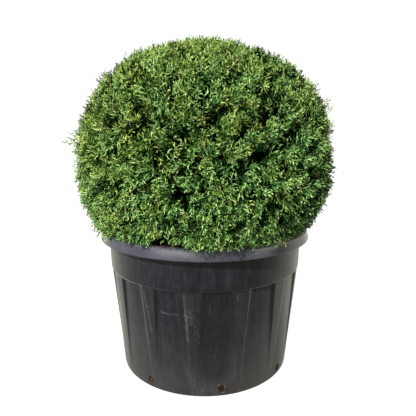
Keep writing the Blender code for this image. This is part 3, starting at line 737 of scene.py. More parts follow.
masses = mass_layout()
bark = finish("stringy_bark", stringy_bark)
rises = np.concatenate([[-TRUNK_SINK], np.linspace(0.0, TRUNK_STATIONS[-1, 0], TRUNK_RINGS)])
trunk_points = np.array([trunk_axis(rise) for rise in rises])
trunk_radii = np.interp(rises, TRUNK_STATIONS[:, 0], TRUNK_STATIONS[:, 1])
trunk_points, trunk_faces = tube(trunk_points, trunk_radii, TRUNK_SIDES)
trunk = piece_from("trunk_bark", trunk_points, trunk_faces, [bark])
weld(trunk)
fit_out(trunk, "bark", "trunk")
limbs = [tube(*bough_path(mass), LIMB_SIDES, i) for i, mass in enumerate(masses)]
boughs = piece_from("boughs_bark", *joined(limbs), [bark])
weld(boughs)
fit_out(boughs, "bark", *[mass["limb"] for mass in masses])

# Twigs
# Fine brown twigs fan out from the end of each bough to the place of every spray, in three orders, each
# thinner than the one before.
GOLDEN_ANGLE = pi * (3.0 - sqrt(5.0))
SPRAY_LOWEST = radians(122.0)
SPRAY_UPRIGHT = radians(45.0)
SPRAY_DROOPING = radians(112.0)
SPRAY_SPREAD = radians(45.0)
SPRAY_ROLL = radians(60.0)
SPRAY_SWINGS = np.radians((0, 35, -35, 70, -70, 105, -105, 140, -140, 180))
SPRAY_WIDTH = 0.92
SPRAY_SCATTER = 0.014
CLIPPED_REACH = 1.016
MISSED_SHARE = 0.015
MISSED_REACH = 0.018
HOLLOW_NOISE = (17.0, 3)
OUTLINE_LIMIT = 1.035
PROBES = np.array([(0.0, 1.0, 0.0), (0.33, 0.6, 0.0), (-0.33, 0.6, 0.0), (0.25, 0.9, 0.0), (-0.25, 0.9, 0.0)])
POT_GAP = 0.004
ROOT_CORRECTIONS = 3
SHOULDER_CUT = (0.004, 0.018)
BELLY_CUT = (0.008, 0.01)
RIGHT_CUT = 0.012
WAIST_LEFT_ON = 0.006
CAP_LEFT_ON = 0.015
TUFT_COUNT = 1400
TUFT_SEED = 7
TUFT_SWING = radians(30.0)
TUFT_SCATTER = 0.022
TUFT_RISE = 0.004
TUFT_TINT = 0.15
SPRAY_LAYERS = (
    # number of sprays, seed, reach of their tips, depth of the hollows, pull of the tufts, length, lean
    (7600, 11, (0.975, 1.012), 0.003, 0.45, (0.045, 0.075), (0.4, 1.8)),
    (3400, 19, (0.925, 0.965), 0.004, 0.1, (0.05, 0.075), (0.3, 1.4)),
    (2400, 23, (0.86, 0.925), 0.004, 0.1, (0.07, 0.1), (0.3, 1.2)),
)
BARE_PATCH = np.radians((-29.0, -10.0, 107.0))
TWIG_ORDERS = (
    # sprays to a twig, share of the crown that it reaches, first and last radius, sides, rings
    (70, 0.6, 0.006, 0.004, 5, 5),
    (9, 0.73, 0.0034, 0.002, 3, 4),
    (1, 1.0, 0.0015, 0.0009, 3, 2),
)
TWIG_SAG = 0.06
BARE_TWIG_COUNT = 40
BARE_TWIG_SEED = 9
BARE_TWIG_RADII = (0.0011, 0.0005)
BARE_TWIG_SAG = -0.22
BARE_TWIG_REACH = (0.955, 0.992)
BARE_TWIG_LENGTH = (0.03, 0.05)
BARE_TWIG_SCATTER = 0.08
BARE_TWIG_SLANT = 0.5
FRONT_BARE_TWIGS = np.radians((76.0, 67.0, 68.0)), np.radians((-1.0, -3.5, -31.0)), (0.15, 1.2, 0.0)

TWIG_BROWN = (0.04, 0.024, 0.015)
DRY_TWIG = (0.33, 0.25, 0.12)


def clear_of_pot(points):
    """Above the soil, above the lip, and outside the lip where a spray hangs past it."""
    radius = np.hypot(points[..., 0], points[..., 1])
    floor = np.where(radius > LIP_FOOT_RADIUS + POT_GAP, POT_HEIGHT - 1.2 * LIP_DEPTH, POT_HEIGHT + POT_GAP)
    return points[..., 2] > np.where(radius < BAND_TOP_RADIUS - POT_SKIN - POT_GAP, SOIL_TOP + POT_GAP, floor)


def rooted(polar, azimuth, headings, lengths, reach):
    """Roots from which sprays of these lengths end at their share of the crown."""
    rise = lengths * np.sum(headings * outward(polar, azimuth), axis=1)
    shares = reach - rise / crown_reach(polar, azimuth)
    for correction in range(ROOT_CORRECTIONS):
        roots = crown_point(polar, azimuth, shares)
        shares -= crown_share(roots + headings * lengths[:, None]) - reach
    return crown_point(polar, azimuth, shares)


def blade_frames(roots, headings, facings, roll, lengths, widths):
    """Stands unit sprays on their roots, flat side out before they are rolled, as 3 columns and a place."""
    flat = unit(np.cross(headings, facings))
    thick = np.cross(flat, headings)
    across = flat * np.cos(roll)[:, None] + thick * np.sin(roll)[:, None]
    thick = np.cross(across, headings)
    columns = across * widths[:, None], headings * lengths[:, None], thick * lengths[:, None], roots
    return np.stack(columns, axis=-1)


def placed(frames, points):
    """Unit points put through each frame."""
    return np.einsum("nij,pj->npi", frames[:, :, :3], points) + frames[:, None, :, 3]


def soft_noise(points, scale, seed):
    """Slow variation through space, about -1 to 1, from crossing waves."""
    chance = np.random.default_rng(seed)
    total = np.zeros(len(points))
    for octave in range(5):
        direction = unit(chance.normal(size=3)) * scale * 1.35**octave
        other = unit(chance.normal(size=3)) * scale * 0.8
        phase = chance.uniform(0.0, 2 * pi)
        total += np.sin(points @ direction + phase + 1.4 * np.sin(points @ other)) / 1.15**octave
    return total / 2.2


def lattice(count):
    """Places spread evenly over the crown by the golden angle, from its top to its lowest sprays."""
    index = np.arange(count)
    polar = np.arccos(1.0 - (1.0 - cos(SPRAY_LOWEST)) * (index + 0.5) / count)
    return polar, (index * GOLDEN_ANGLE + pi) % (2 * pi) - pi


def make_tufts():
    """Neighbouring sprays share a tuft, which turns, raises and tints them together."""
    chance = np.random.default_rng(TUFT_SEED)
    polar, azimuth = lattice(TUFT_COUNT)
    ways = unit(outward(polar, azimuth) + chance.normal(0.0, TUFT_SCATTER, (TUFT_COUNT, 3)))
    swing = chance.uniform(-TUFT_SWING, TUFT_SWING, TUFT_COUNT)
    rise = chance.normal(0.0, TUFT_RISE, TUFT_COUNT)
    return ways, swing, rise, chance.normal(0.0, TUFT_TINT, TUFT_COUNT)


def clipping(polar, azimuth):
    """Where the shears cut closer or left more, as a share of the crown's reach."""
    right = np.maximum(np.sin(azimuth), 0.0)
    shoulder = np.where(polar < pi / 2, np.sin(2.0 * polar), 0.0)
    waist = np.exp(-(((polar - radians(92.0)) / radians(12.0)) ** 2))
    belly = np.exp(-(((polar - radians(107.0)) / radians(9.0)) ** 2))
    cap = np.exp(-((polar / radians(22.0)) ** 2))
    clipped = shoulder * (SHOULDER_CUT[0] + SHOULDER_CUT[1] * right)
    clipped = clipped + belly * (BELLY_CUT[0] + BELLY_CUT[1] * right) + RIGHT_CUT * right
    return WAIST_LEFT_ON * waist * right + CAP_LEFT_ON * cap - clipped


def grow_sprays(tufts, layer):
    """Places one layer of sprays, and swings each until it keeps to the crown and off the tub."""
    count, seed, reaches, depth, pull, length, leans = layer
    chance = np.random.default_rng(seed)
    polar, azimuth = lattice(count)
    way = unit(outward(polar, azimuth) + chance.normal(0.0, SPRAY_SCATTER, (count, 3)))
    tuft = np.argmax(way @ tufts[0].T, axis=1)
    way = unit(way * (1.0 - pull) + tufts[0][tuft] * pull)
    polar = np.minimum(np.arccos(np.clip(way[:, 2], -1.0, 1.0)), SPRAY_LOWEST)
    azimuth = np.arctan2(way[:, 0], -way[:, 1])
    facing = outward(polar, azimuth)
    level = outward(np.full(count, pi / 2), azimuth + pi / 2)
    upward = np.cross(facing, level)
    upward *= np.sign(upward[:, 2:])
    sideways = np.cross(facing, upward)
    fall = np.clip((polar - SPRAY_UPRIGHT) / (SPRAY_DROOPING - SPRAY_UPRIGHT), 0.0, 1.0)
    turn = np.where(tuft % 2, 1, -1) * pi * fall
    turn += tufts[1][tuft] + chance.uniform(-SPRAY_SPREAD, SPRAY_SPREAD, count)
    hollow = soft_noise(facing * CROWN_RADIUS, *HOLLOW_NOISE)
    reach = chance.uniform(*reaches, count) + tufts[2][tuft]
    reach -= depth * ramp(hollow, 0.3, 0.95)
    is_missed = chance.random(count) < MISSED_SHARE
    reach = np.where(is_missed, reach + MISSED_REACH, np.minimum(reach, CLIPPED_REACH))
    reach += clipping(polar, azimuth)
    lean = chance.uniform(*leans, count)
    lengths = chance.uniform(*length, count)
    roll = chance.uniform(-SPRAY_ROLL, SPRAY_ROLL, count)
    frames = np.zeros((count, 3, 4))
    waiting = np.ones(count, bool)
    for swing in SPRAY_SWINGS:
        aside = upward * np.cos(turn + swing)[:, None] + sideways * np.sin(turn + swing)[:, None]
        heading = unit(facing + aside * lean[:, None])
        roots = rooted(polar, azimuth, heading, lengths, reach)
        tried = blade_frames(roots, heading, facing, roll, lengths, lengths * SPRAY_WIDTH)
        probes = placed(tried, PROBES)
        holds = clear_of_pot(probes).all(axis=1) & (crown_share(probes) < OUTLINE_LIMIT).all(axis=1)
        taken = waiting & holds
        frames[taken] = tried[taken]
        waiting &= ~holds
    is_bare = (azimuth > BARE_PATCH[0]) & (azimuth < BARE_PATCH[1]) & (polar > BARE_PATCH[2])
    kept = ~waiting & ~is_bare
    sprays = {"polar": polar, "azimuth": azimuth, "frames": frames, "tint": tufts[3][tuft]}
    return {name: values[kept] for name, values in sprays.items()}


def mass_of(polar, azimuth):
    """The number of the mass that each place belongs to."""
    owner = np.zeros(len(polar), int)
    for i, mass in enumerate(masses):
        turn = np.abs((azimuth - mass["centre"] + pi) % (2 * pi) - pi)
        owner[(polar >= mass["top"]) & (polar <= mass["bottom"]) & (turn <= mass["half_turn"])] = i
    return owner


def many_twigs(starts, ends, start_radius, end_radius, sides, rings, sag=TWIG_SAG):
    """Bent tapering twigs from these starts to these ends, all in one mesh."""
    span = ends - starts
    length = np.linalg.norm(span, axis=1, keepdims=True)
    middle = (starts + ends) / 2 - (0.0, 0.0, 1.0) * length * sag
    t = np.linspace(0.0, 1.0, rings)[None, :, None]
    axis = (1 - t) ** 2 * starts[:, None] + 2 * t * (1 - t) * middle[:, None] + t * t * ends[:, None]
    across = unit(np.cross(span, OFF_AXIS))
    other = unit(np.cross(span, across))
    angle = full_turn(sides)
    ring = np.cos(angle)[:, None] * across[:, None] + np.sin(angle)[:, None] * other[:, None]
    radius = (start_radius + (end_radius - start_radius) * t)[..., None]
    points = axis[:, :, None] + ring[:, None] * radius
    faces = grid_faces(rings, sides)[:, ::-1]
    faces = faces[None] + rings * sides * np.arange(len(starts))[:, None, None]
    return points.reshape(-1, 3), faces.reshape(-1, 4)


def twig_parts(mass, roots):
    """The twigs of one mass, from its bough's end to its sprays' roots."""
    parts = []
    hubs = np.array([mass["tip"] + mass["heading"] * BOUGH_INTO_MASS])
    for every, share, *shape in TWIG_ORDERS:
        ends = roots[::every]
        if share < 1.0:
            ends = CROWN_CENTRE + (ends - CROWN_CENTRE) * (share / crown_share(ends))[:, None]
        nearest = np.argmin(np.linalg.norm(ends[:, None] - hubs[None], axis=2), axis=1)
        parts.append(many_twigs(hubs[nearest], ends, *shape))
        hubs = ends
    return parts


def bare_twigs():
    """A few arched dry twigs without leaves, just under the surface. The first three show in front."""
    chance = np.random.default_rng(BARE_TWIG_SEED)
    polar, azimuth = lattice(BARE_TWIG_COUNT)
    polar = polar + chance.normal(0.0, BARE_TWIG_SCATTER, BARE_TWIG_COUNT)
    azimuth = azimuth + chance.normal(0.0, BARE_TWIG_SCATTER, BARE_TWIG_COUNT)
    slant = chance.normal(0.0, BARE_TWIG_SLANT, BARE_TWIG_COUNT)
    polar[:3], azimuth[:3], slant[:3] = FRONT_BARE_TWIGS
    length = chance.uniform(*BARE_TWIG_LENGTH, BARE_TWIG_COUNT)
    starts = crown_point(polar, azimuth, np.full(BARE_TWIG_COUNT, BARE_TWIG_REACH[0]))
    reach = crown_reach(polar, azimuth)
    ends = crown_point(
        polar - length * np.cos(slant) / reach, azimuth + length * np.sin(slant) / reach,
        np.full(BARE_TWIG_COUNT, BARE_TWIG_REACH[1]),
    )
    return many_twigs(starts, ends, *BARE_TWIG_RADII, 4, 6, BARE_TWIG_SAG)


tufts = make_tufts()
layers = [grow_sprays(tufts, layer) for layer in SPRAY_LAYERS]
sprays = {name: np.concatenate([layer[name] for layer in layers]) for name in layers[0]}
sprays["layer"] = np.repeat(np.arange(len(layers)), [len(layer["polar"]) for layer in layers])
sprays["mass"] = mass_of(sprays["polar"], sprays["azimuth"])
twig_sets = []
for i, mass in enumerate(masses):
    twig_sets += twig_parts(mass, sprays["frames"][sprays["mass"] == i][:, :, 3])
twigs = piece_from("fine_twigs", *joined(twig_sets), [plain_finish("twig_bark", TWIG_BROWN, 0.9)])
fit_out(twigs, "bark")
bare_points, bare_faces = bare_twigs()
bare = piece_from("bare_twigs", bare_points, bare_faces, [plain_finish("dry_twig", DRY_TWIG, 0.8)])
fit_out(bare, "bark")

# Foliage
# Flat sprays of scale leaves fill a crown that is clipped to a ball. They lean up on top, sideways round
# the middle and down below, fresh yellow-green at their tips and dark green further in. Towards their
# roots and in the inner layers they are painted darker still, as shade.
TEMPLATE_SEED = 31
SPRAY_TEMPLATES = 16
SPRAY_BEND = 0.25
SPRAY_ARCH = 0.45
SIDE_SHOOTS = 8
INNER_SIDE_SHOOTS = 7
AXIS_WIDTH = 0.0224
LOWEST_SHOOT = 0.14
SHOOTS_OVER = 0.72
SHOOT_WIDTH = 0.028
SHOOT_SLANT = (34.0, 60.0)
LONGEST_SHOOT = 0.6
SHOOT_TAPER = 0.38
SHOOT_FOOT = 0.6
SHOOT_ELBOW = 0.58
SHOOT_TWIST = 1.1
SHOOT_BEND = (0.05, 0.26)
SHOOT_LIFT = 0.08
TOOTH_WIDTH = 0.0252
TOOTH_SLANT = (36.0, 60.0)
TOOTH_PLACE = (0.3, 0.55)
TOOTH_LENGTH = (0.4, 0.62)
DULL_SHOOTS = 0.3
DARK_ELBOWS = 0.5
LOOSE_SPRAYS = (
    # azimuth, polar, root share, outward, down, length, width, roll, tone
    (-92.0, 78.0, 0.93, 1.0, -0.4, 0.115, 0.06, 90.0, 4),
    (-92.5, 76.0, 0.93, 1.0, -0.65, 0.105, 0.05, 80.0, 4),
    (80.0, 60.0, 0.93, 1.0, -1.2, 0.06, 0.04, 80.0, 5),
    (82.0, 61.0, 0.94, 1.0, -0.5, 0.054, 0.04, 85.0, 5),
    (-7.0, 105.5, 0.93, 0.2, 1.0, 0.055, 0.05, 10.0, 3),
    (-4.5, 107.0, 0.94, 0.24, 1.0, 0.055, 0.05, -35.0, 3),
    (-2.0, 106.0, 0.95, 0.28, 1.0, 0.06, 0.055, 25.0, 4),
    (0.5, 107.0, 0.94, 0.24, 1.0, 0.06, 0.05, 60.0, 2),
    (3.0, 106.0, 0.95, 0.28, 1.0, 0.062, 0.055, -20.0, 3),
    (5.5, 107.0, 0.94, 0.24, 1.0, 0.055, 0.05, 40.0, 4),
    (8.0, 105.0, 0.93, 0.2, 1.0, 0.055, 0.045, -50.0, 3),
    (-98.0, 105.0, 0.94, 0.2, 1.0, 0.09, 0.05, 40.0, 4),
    (-92.0, 107.0, 0.94, 0.16, 1.0, 0.08, 0.055, -30.0, 3),
    (-87.0, 105.0, 0.93, 0.1, 1.0, 0.095, 0.05, 15.0, 4),
    (-82.0, 107.0, 0.92, 0.1, 1.0, 0.075, 0.055, 60.0, 3),
    (-76.0, 106.0, 0.92, 0.1, 1.0, 0.085, 0.055, 15.0, 4),
    (-70.0, 107.0, 0.93, 0.2, 1.0, 0.07, 0.06, -40.0, 3),
    (-78.0, 107.0, 0.93, 0.1, 1.0, 0.075, 0.06, 30.0, 4),
    (-72.0, 108.0, 0.93, 0.1, 1.0, 0.075, 0.06, -20.0, 3),
    (-66.0, 109.0, 0.93, 0.1, 1.0, 0.075, 0.06, 50.0, 4),
    (-60.0, 110.0, 0.93, 0.1, 1.0, 0.07, 0.06, -45.0, 2),
    (-54.0, 110.0, 0.94, 0.2, 1.0, 0.06, 0.06, 15.0, 3),
    (30.5, 108.0, 0.93, 0.2, 1.0, 0.06, 0.055, 38.0, 3),
    (34.0, 107.5, 0.94, 0.22, 1.0, 0.065, 0.055, -12.0, 4),
)

# Base, middle and tip colours of each green. The base colours, and all of the two darkest greens, are painted
# shade.
GREENS = (
    ("deep_shade", (0.0004, 0.002, 0.0003), (0.0012, 0.006, 0.0012), (0.004, 0.015, 0.003)),
    ("shaded", (0.0005, 0.003, 0.0005), (0.003, 0.015, 0.003), (0.01, 0.038, 0.007)),
    ("bluish", (0.0025, 0.011, 0.0016), (0.054, 0.165, 0.026), (0.268, 0.492, 0.145)),
    ("middle", (0.003, 0.012, 0.0016), (0.075, 0.19, 0.03), (0.35, 0.548, 0.182)),
    ("fresh", (0.0045, 0.014, 0.0016), (0.116, 0.224, 0.026), (0.378, 0.505, 0.135)),
    ("yellow", (0.0065, 0.0155, 0.0016), (0.15, 0.23, 0.022), (0.4, 0.488, 0.098)),
)
DEEP_SHADE, SHADED, BLUISH, MIDDLE = range(4)
WARMER_UP = 0.75
WARMER_LEFT = 0.4
WARM_PATCHES = 0.2
WARM_NOISE = (14.0, 8)
WARM_SPREAD = 0.32
FRESH_FROM = 0.05
YELLOW_FROM = 1.0
BLUISH_NOISE = (24.0, 21)
BLUISH_SHARES = (0.53, 0.28)
BLUISH_BELOW = 0.3
OUTER_SHADE = (0.08, 0.26, 0.27, 0.2)
STANDS_OUT = 0.995
STANDS_OUT_RIGHT = 0.02
OUTLINE_SHADE = (0.4, 1.4)
INNER_SHADE = (0.92, 0.15)
DEEP_SHADE_SHARES = (0.55, 0.25)
BLADE = np.array([(0, 1, 3), (0, 3, 2), (2, 3, 4)])


def scale_shoot(root, tip, width, twist, bend, rise):
    """One shoot of scale leaves: a slim strip, bent at its elbow, that narrows to its tip."""
    along = tip - root
    across = np.array((-along[1], along[0], 0.0))
    elbow = root + along * SHOOT_ELBOW + across * bend
    elbow[2] += rise * np.linalg.norm(along)
    side = across * width / max(np.linalg.norm(across), 1e-9)
    points = np.array([root + side * SHOOT_FOOT, root - side * SHOOT_FOOT, elbow + side, elbow - side, tip])
    points[2, 2] += twist * width
    points[3, 2] -= twist * width
    return points


def spray_template(chance, side_shoots, has_teeth):
    """A flat spray one unit long: side shoots on alternate sides of an axis, with a tooth on each."""
    shoots, tints = [], []

    def add(root, tip, lift, width, tint, bend):
        twist = chance.uniform(-SHOOT_TWIST, SHOOT_TWIST)
        ends = np.array((*root, lift)), np.array((*tip, lift + chance.normal(0.0, SHOOT_LIFT)))
        shoots.append(scale_shoot(*ends, width, twist, bend, chance.normal(0.0, SHOOT_LIFT)))
        tint = tint - (chance.random() < DULL_SHOOTS)
        elbow_tint = tint - (chance.random() < DARK_ELBOWS)
        # Each shoot is painted darker at its root end than at its tip, as shade further in the spray.
        tints.extend((max(tint - 1, 0), max(elbow_tint, 0), max(tint, 0)))

    knots = np.array([(0.0, 0.0), (chance.uniform(-0.05, 0.05), 0.52), (0.0, 1.0)])
    for k in range(2):
        add(knots[k], knots[k + 1], 0.0, AXIS_WIDTH, k + 1, chance.uniform(-0.08, 0.08))
    for i in range(side_shoots):
        up = LOWEST_SHOOT + SHOOTS_OVER * i / (side_shoots - 1) + chance.uniform(-0.02, 0.02)
        side = 1 if i % 2 else -1
        angle = radians(chance.uniform(*SHOOT_SLANT))
        length = (LONGEST_SHOOT - SHOOT_TAPER * up) * chance.uniform(0.8, 1.2)
        lift = chance.normal(0.0, SHOOT_LIFT)
        root = np.array((np.interp(up, knots[:, 1], knots[:, 0]), up))
        way = np.array((side * sin(angle), cos(angle)))
        bend = -side * chance.uniform(*SHOOT_BEND)
        # Shoots low on the axis take the darker middle colour, as painted shade near the spray's root.
        tint = 1 if up < 0.3 else 2
        add(root, root + way * length, lift, SHOOT_WIDTH, tint, bend)
        if has_teeth:
            turn = angle * side + (side if i % 4 < 2 else -side) * radians(chance.uniform(*TOOTH_SLANT))
            start = root + way * length * chance.uniform(*TOOTH_PLACE)
            tooth = length * chance.uniform(*TOOTH_LENGTH) * np.array((sin(turn), cos(turn)))
            add(start, start + tooth, lift, TOOTH_WIDTH, tint, bend)
    points = np.concatenate(shoots)
    points[:, 2] -= SPRAY_ARCH * points[:, 0] ** 2
    faces = (BLADE[None] + 5 * np.arange(len(shoots))[:, None, None]).reshape(-1, 3)
    return points, faces, np.array(tints)


def loose_frames():
    """Shoots that the shears missed, and sprays that hang over the lip."""
    values = np.array(LOOSE_SPRAYS)
    azimuth, polar = np.radians(values[:, 0]), np.radians(values[:, 1])
    roots = crown_point(polar, azimuth, values[:, 2])
    level = outward(np.full(len(values), pi / 2), azimuth)
    heading = unit(level * values[:, 3:4] - np.array((0.0, 0.0, 1.0)) * values[:, 4:5])
    facing = outward(polar, azimuth)
    frames = blade_frames(roots, heading, facing, np.radians(values[:, 7]), values[:, 5], values[:, 6])
    return polar, azimuth, frames, values[:, 8].astype(int)


def tone_of(sprays):
    """Deals each spray a green: yellower high up and to the left, bluish in patches, painted shade further
    in.
    """
    chance = np.random.default_rng(TEMPLATE_SEED + 1)
    roots = sprays["frames"][:, :, 3]
    count = len(roots)
    warm = WARMER_UP * (roots[:, 2] - CROWN_CENTRE[2]) / CROWN_RISE
    warm -= WARMER_LEFT * roots[:, 0] / CROWN_RADIUS
    chances = chance.normal(0.0, WARM_SPREAD, count)
    warm += WARM_PATCHES * soft_noise(roots, *WARM_NOISE) + sprays["tint"] + chances
    tone = MIDDLE + np.digitize(warm, (FRESH_FROM, YELLOW_FROM))
    bluish_share = np.where(soft_noise(roots, *BLUISH_NOISE) > 0.2, *BLUISH_SHARES)
    is_bluish = chance.random(count) < bluish_share
    tone = np.where(is_bluish & (warm < BLUISH_BELOW), BLUISH, tone)
    lot = chance.random(count)
    layer = sprays["layer"]
    low = np.clip((CROWN_CENTRE[2] - roots[:, 2]) / CROWN_DROP, 0.0, 1.0)
    high = np.clip((roots[:, 2] - CROWN_CENTRE[2]) / CROWN_RISE, 0.0, 1.0)
    right = np.clip(roots[:, 0] / CROWN_RADIUS, 0.0, 1.0)
    everywhere, low_down, high_up, at_right = OUTER_SHADE
    outer_share = everywhere + low_down * low + np.maximum(high_up * high, at_right * right)
    stands_out = crown_share(roots + sprays["frames"][:, :, 1]) > STANDS_OUT - STANDS_OUT_RIGHT * right
    outer_share *= np.where(stands_out, *OUTLINE_SHADE)
    shaded_share = np.choose(layer, (outer_share, *INNER_SHADE))
    is_shaded = lot < shaded_share
    tone = np.where(is_shaded, SHADED, tone)
    is_deep_shade = (layer == 0) & ~stands_out & (lot < DEEP_SHADE_SHARES[0] * shaded_share)
    is_deep_shade |= (layer == 1) & (lot < DEEP_SHADE_SHARES[1]) | (layer == 2) & ~is_shaded
    return np.where(is_deep_shade, DEEP_SHADE, tone)


def spray_parts(templates, pick, frames, tones, bends):
    """The points, faces and material numbers of all these sprays."""
    parts, numbers = [], []
    for t, (shape, triangles, tints) in enumerate(templates):
        chosen = pick == t
        bent = np.repeat(shape[None], chosen.sum(), axis=0)
        bent[:, :, 2] += bends[chosen][:, None] * shape[None, :, 1] ** 2
        spots = np.einsum("nij,npj->npi", frames[chosen][:, :, :3], bent) + frames[chosen][:, None, :, 3]
        offset = len(shape) * np.arange(len(bent))[:, None, None]
        parts.append((spots.reshape(-1, 3), (triangles[None] + offset).reshape(-1, 3)))
        numbers.append((tones[chosen][:, None] * 3 + tints[None]).ravel())
    return *joined(parts), np.concatenate(numbers)


greens = []
for name, *colours in GREENS:
    for part, colour in zip(("base", "middle", "tip"), colours):
        is_dull = part == "base" or name in ("deep_shade", "shaded")
        greens.append(plain_finish(f"{name}_green_{part}", colour, 0.5, 0.04 if is_dull else 0.22))
chance = np.random.default_rng(TEMPLATE_SEED)
templates = [spray_template(chance, SIDE_SHOOTS, True) for _ in range(SPRAY_TEMPLATES)]
templates += [spray_template(chance, INNER_SIDE_SHOOTS, False) for _ in range(SPRAY_TEMPLATES)]
loose_polar, loose_azimuth, loose, loose_tones = loose_frames()
frames = np.concatenate([sprays["frames"], loose])
tones = np.concatenate([tone_of(sprays), loose_tones])
owner = np.concatenate([sprays["mass"], mass_of(loose_polar, loose_azimuth)])
pick = chance.integers(0, SPRAY_TEMPLATES, len(frames))
pick[:len(tones) - len(loose)] += SPRAY_TEMPLATES * (sprays["layer"] == 2)
bends = chance.uniform(-SPRAY_BEND, SPRAY_BEND, len(frames))
for i, mass in enumerate(masses):
    mine = owner == i
    points, faces, numbers = spray_parts(templates, pick[mine], frames[mine], tones[mine], bends[mine])
    foliage = piece_from(mass["name"] + "_sprays", points, faces, greens, numbers, smooth=False)
    fit_out(foliage, "foliage", mass["name"])

# Inner thicket
# Behind the fresh sprays a clipped thuja is a dense thicket of dead brown sprays and fine twigs, which lets
# no light through. It hangs on the twigs as one rough layer, painted near black as shade.
THICKET_SHARE = 0.76
THICKET_ROWS = 90
THICKET_COLUMNS = 220
THICKET_LOWEST = radians(119.0)
THICKET_SEED = 17
THICKET_ROUGHNESS = 0.012

# Near-black colours: painted shade for the inside of the crown.
THICKET_SHADE_DARK = (0.0015, 0.0025, 0.001)
THICKET_SHADE_BROWN = (0.008, 0.008, 0.004)


def dead_sprays_painted_shade(tree):
    tufts = between(tree, noise_at(tree, 90.0, 5.0), 0.45, 0.65)
    return {
        "Base Color": mixed(tree, tufts, THICKET_SHADE_DARK, THICKET_SHADE_BROWN),
        "Roughness": 0.95,
        "Specular IOR Level": 0.1,
    }


def thicket_mesh(material):
    polar = np.linspace(0.0, THICKET_LOWEST, THICKET_ROWS)[:, None]
    azimuth = full_turn(THICKET_COLUMNS)[None, :]
    polar, azimuth = np.broadcast_arrays(polar, azimuth)
    rough = np.random.default_rng(THICKET_SEED).normal(0.0, THICKET_ROUGHNESS, polar.shape)
    rough[0] = 0.0
    points = crown_point(polar, azimuth, THICKET_SHARE + rough).reshape(-1, 3)
    thicket = piece_from("inner_shade_thicket", points, grid_faces(THICKET_ROWS, THICKET_COLUMNS), [material])
    weld(thicket)
    return thicket


thicket = thicket_mesh(finish("dead_sprays_painted_shade", dead_sprays_painted_shade))
fit_out(thicket, "foliage")

# Floor, light and camera
# The plant stands on a plain white studio floor in a white surround. A main light from the upper left and
# softboxes all round light it. The camera stands where the photograph's did.
FLOOR_RADIUS = 14.0
FLOOR_SIDES = 96
FLOOR_SEEN = 0.98
FLOOR_GLOW = 0.75
SURROUND_SEEN = 1.05
SURROUND_GLOW = 0.2
WHITE = (1.0, 1.0, 1.0)
WARM_WHITE = (1.0, 0.95, 0.8)
SUNS = (
    # name, azimuth, elevation, strength, spread
    ("key_light", -36.0, 38.0, 5.8, 5.0),
    ("overhead_light", 0.0, 76.0, 0.15, 25.0),
)
SOFTBOXES = (
    # name, azimuth, elevation, distance, width, height, radiance, tint
    ("front_softbox", -30.0, 5.0, 3.6, 2.4, 0.8, 6.0, WHITE),
    ("right_softbox", 62.0, 5.0, 3.6, 1.4, 0.8, 5.8, WARM_WHITE),
    ("left_back_softbox", -150.0, 10.0, 3.4, 2.2, 1.6, 2.0, WHITE),
    ("right_back_softbox", 150.0, 10.0, 3.4, 2.2, 1.6, 2.4, WHITE),
    ("back_softbox", 180.0, 14.0, 4.2, 2.6, 1.8, 4.5, WHITE),
    ("side_softbox", 108.0, 8.0, 4.2, 2.2, 1.6, 3.6, (1.0, 0.97, 0.88)),
)
CAMERA_PLACE = (0.0, -1.702, 0.936)
CAMERA_PITCH = radians(10.37)
CAMERA_YAW = -0.0075
CAMERA_LENS = 36.55


def show_or_light(tree, light, shown, ends_in):
    """What the camera sees is one finish, and what lights the plant is another."""
    is_seen = node(tree, "LightPath", {}, "Is Camera Ray")
    choice = node(tree, "MixShader", {0: is_seen, 1: light, 2: shown})
    set_sockets(tree, tree.nodes[ends_in].inputs, {0: choice})


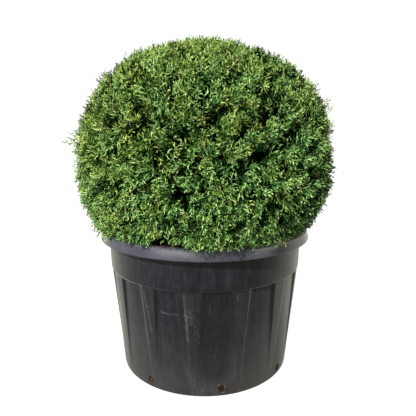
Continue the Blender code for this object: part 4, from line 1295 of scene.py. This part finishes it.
def studio_floor(tree):
    """A white floor that glows warmly behind the plant, as a lit paper sweep does."""
    backward = node(tree, "SeparateXYZ", {0: stretched(tree)}, "Y")
    light = node(tree, "BsdfPrincipled", {
        "Base Color": (0.13, 0.125, 0.11),
        "Specular IOR Level": 0.0,
        "Emission Color": (1.0, 0.97, 0.9),
        "Emission Strength": between(tree, backward, -0.6, 0.4, 0.0, FLOOR_GLOW),
    })
    show_or_light(tree, light, tree.nodes["Principled BSDF"].outputs[0], "Material Output")
    return {
        "Base Color": (0.12, 0.12, 0.12),
        "Roughness": 0.9,
        "Specular IOR Level": 0.0,
        "Emission Color": WHITE,
        "Emission Strength": FLOOR_SEEN,
    }


def add_light(name, kind, azimuth, elevation, place=(0.0, 0.0, 0.0)):
    light = bpy.data.lights.new(name, kind)
    lamp = put_in_scene(name, light)
    lamp.location = place
    lamp.rotation_euler = (radians(90.0 - elevation), 0.0, radians(azimuth))
    lamp.visible_camera = False
    return light


floor_edge = around(FLOOR_RADIUS, full_turn(FLOOR_SIDES), 0.0)
floor_face = np.arange(FLOOR_SIDES)[None]
floor = piece_from("floor", floor_edge, floor_face, [finish("studio_floor", studio_floor)], smooth=False)

world = bpy.data.worlds.new("studio")
world.use_nodes = True
bpy.context.scene.world = world
sky = world.node_tree
sky.nodes.remove(sky.nodes["Background"])
surround_light = node(sky, "Background", {0: WHITE, 1: SURROUND_GLOW})
surround_seen = node(sky, "Background", {0: WHITE, 1: SURROUND_SEEN})
show_or_light(sky, surround_light, surround_seen, "World Output")

for name, azimuth, elevation, strength, spread in SUNS:
    sun = add_light(name, "SUN", azimuth, elevation)
    sun.energy = strength
    sun.angle = radians(spread)
for name, azimuth, elevation, distance, width, height, radiance, tint in SOFTBOXES:
    polar = radians(90.0 - elevation)
    place = CROWN_CENTRE + distance * outward(polar, radians(azimuth))
    softbox = add_light(name, "AREA", azimuth, elevation, place)
    softbox.shape = "RECTANGLE"
    softbox.size, softbox.size_y = width, height
    softbox.energy = radiance * pi * width * height
    softbox.color = tint

camera = put_in_scene("camera", bpy.data.cameras.new("camera"))
camera.data.lens = CAMERA_LENS
camera.location = CAMERA_PLACE
camera.rotation_euler = (pi / 2 - CAMERA_PITCH, 0.0, CAMERA_YAW)
bpy.context.scene.camera = camera
bpy.context.scene.view_settings.view_transform = "Standard"
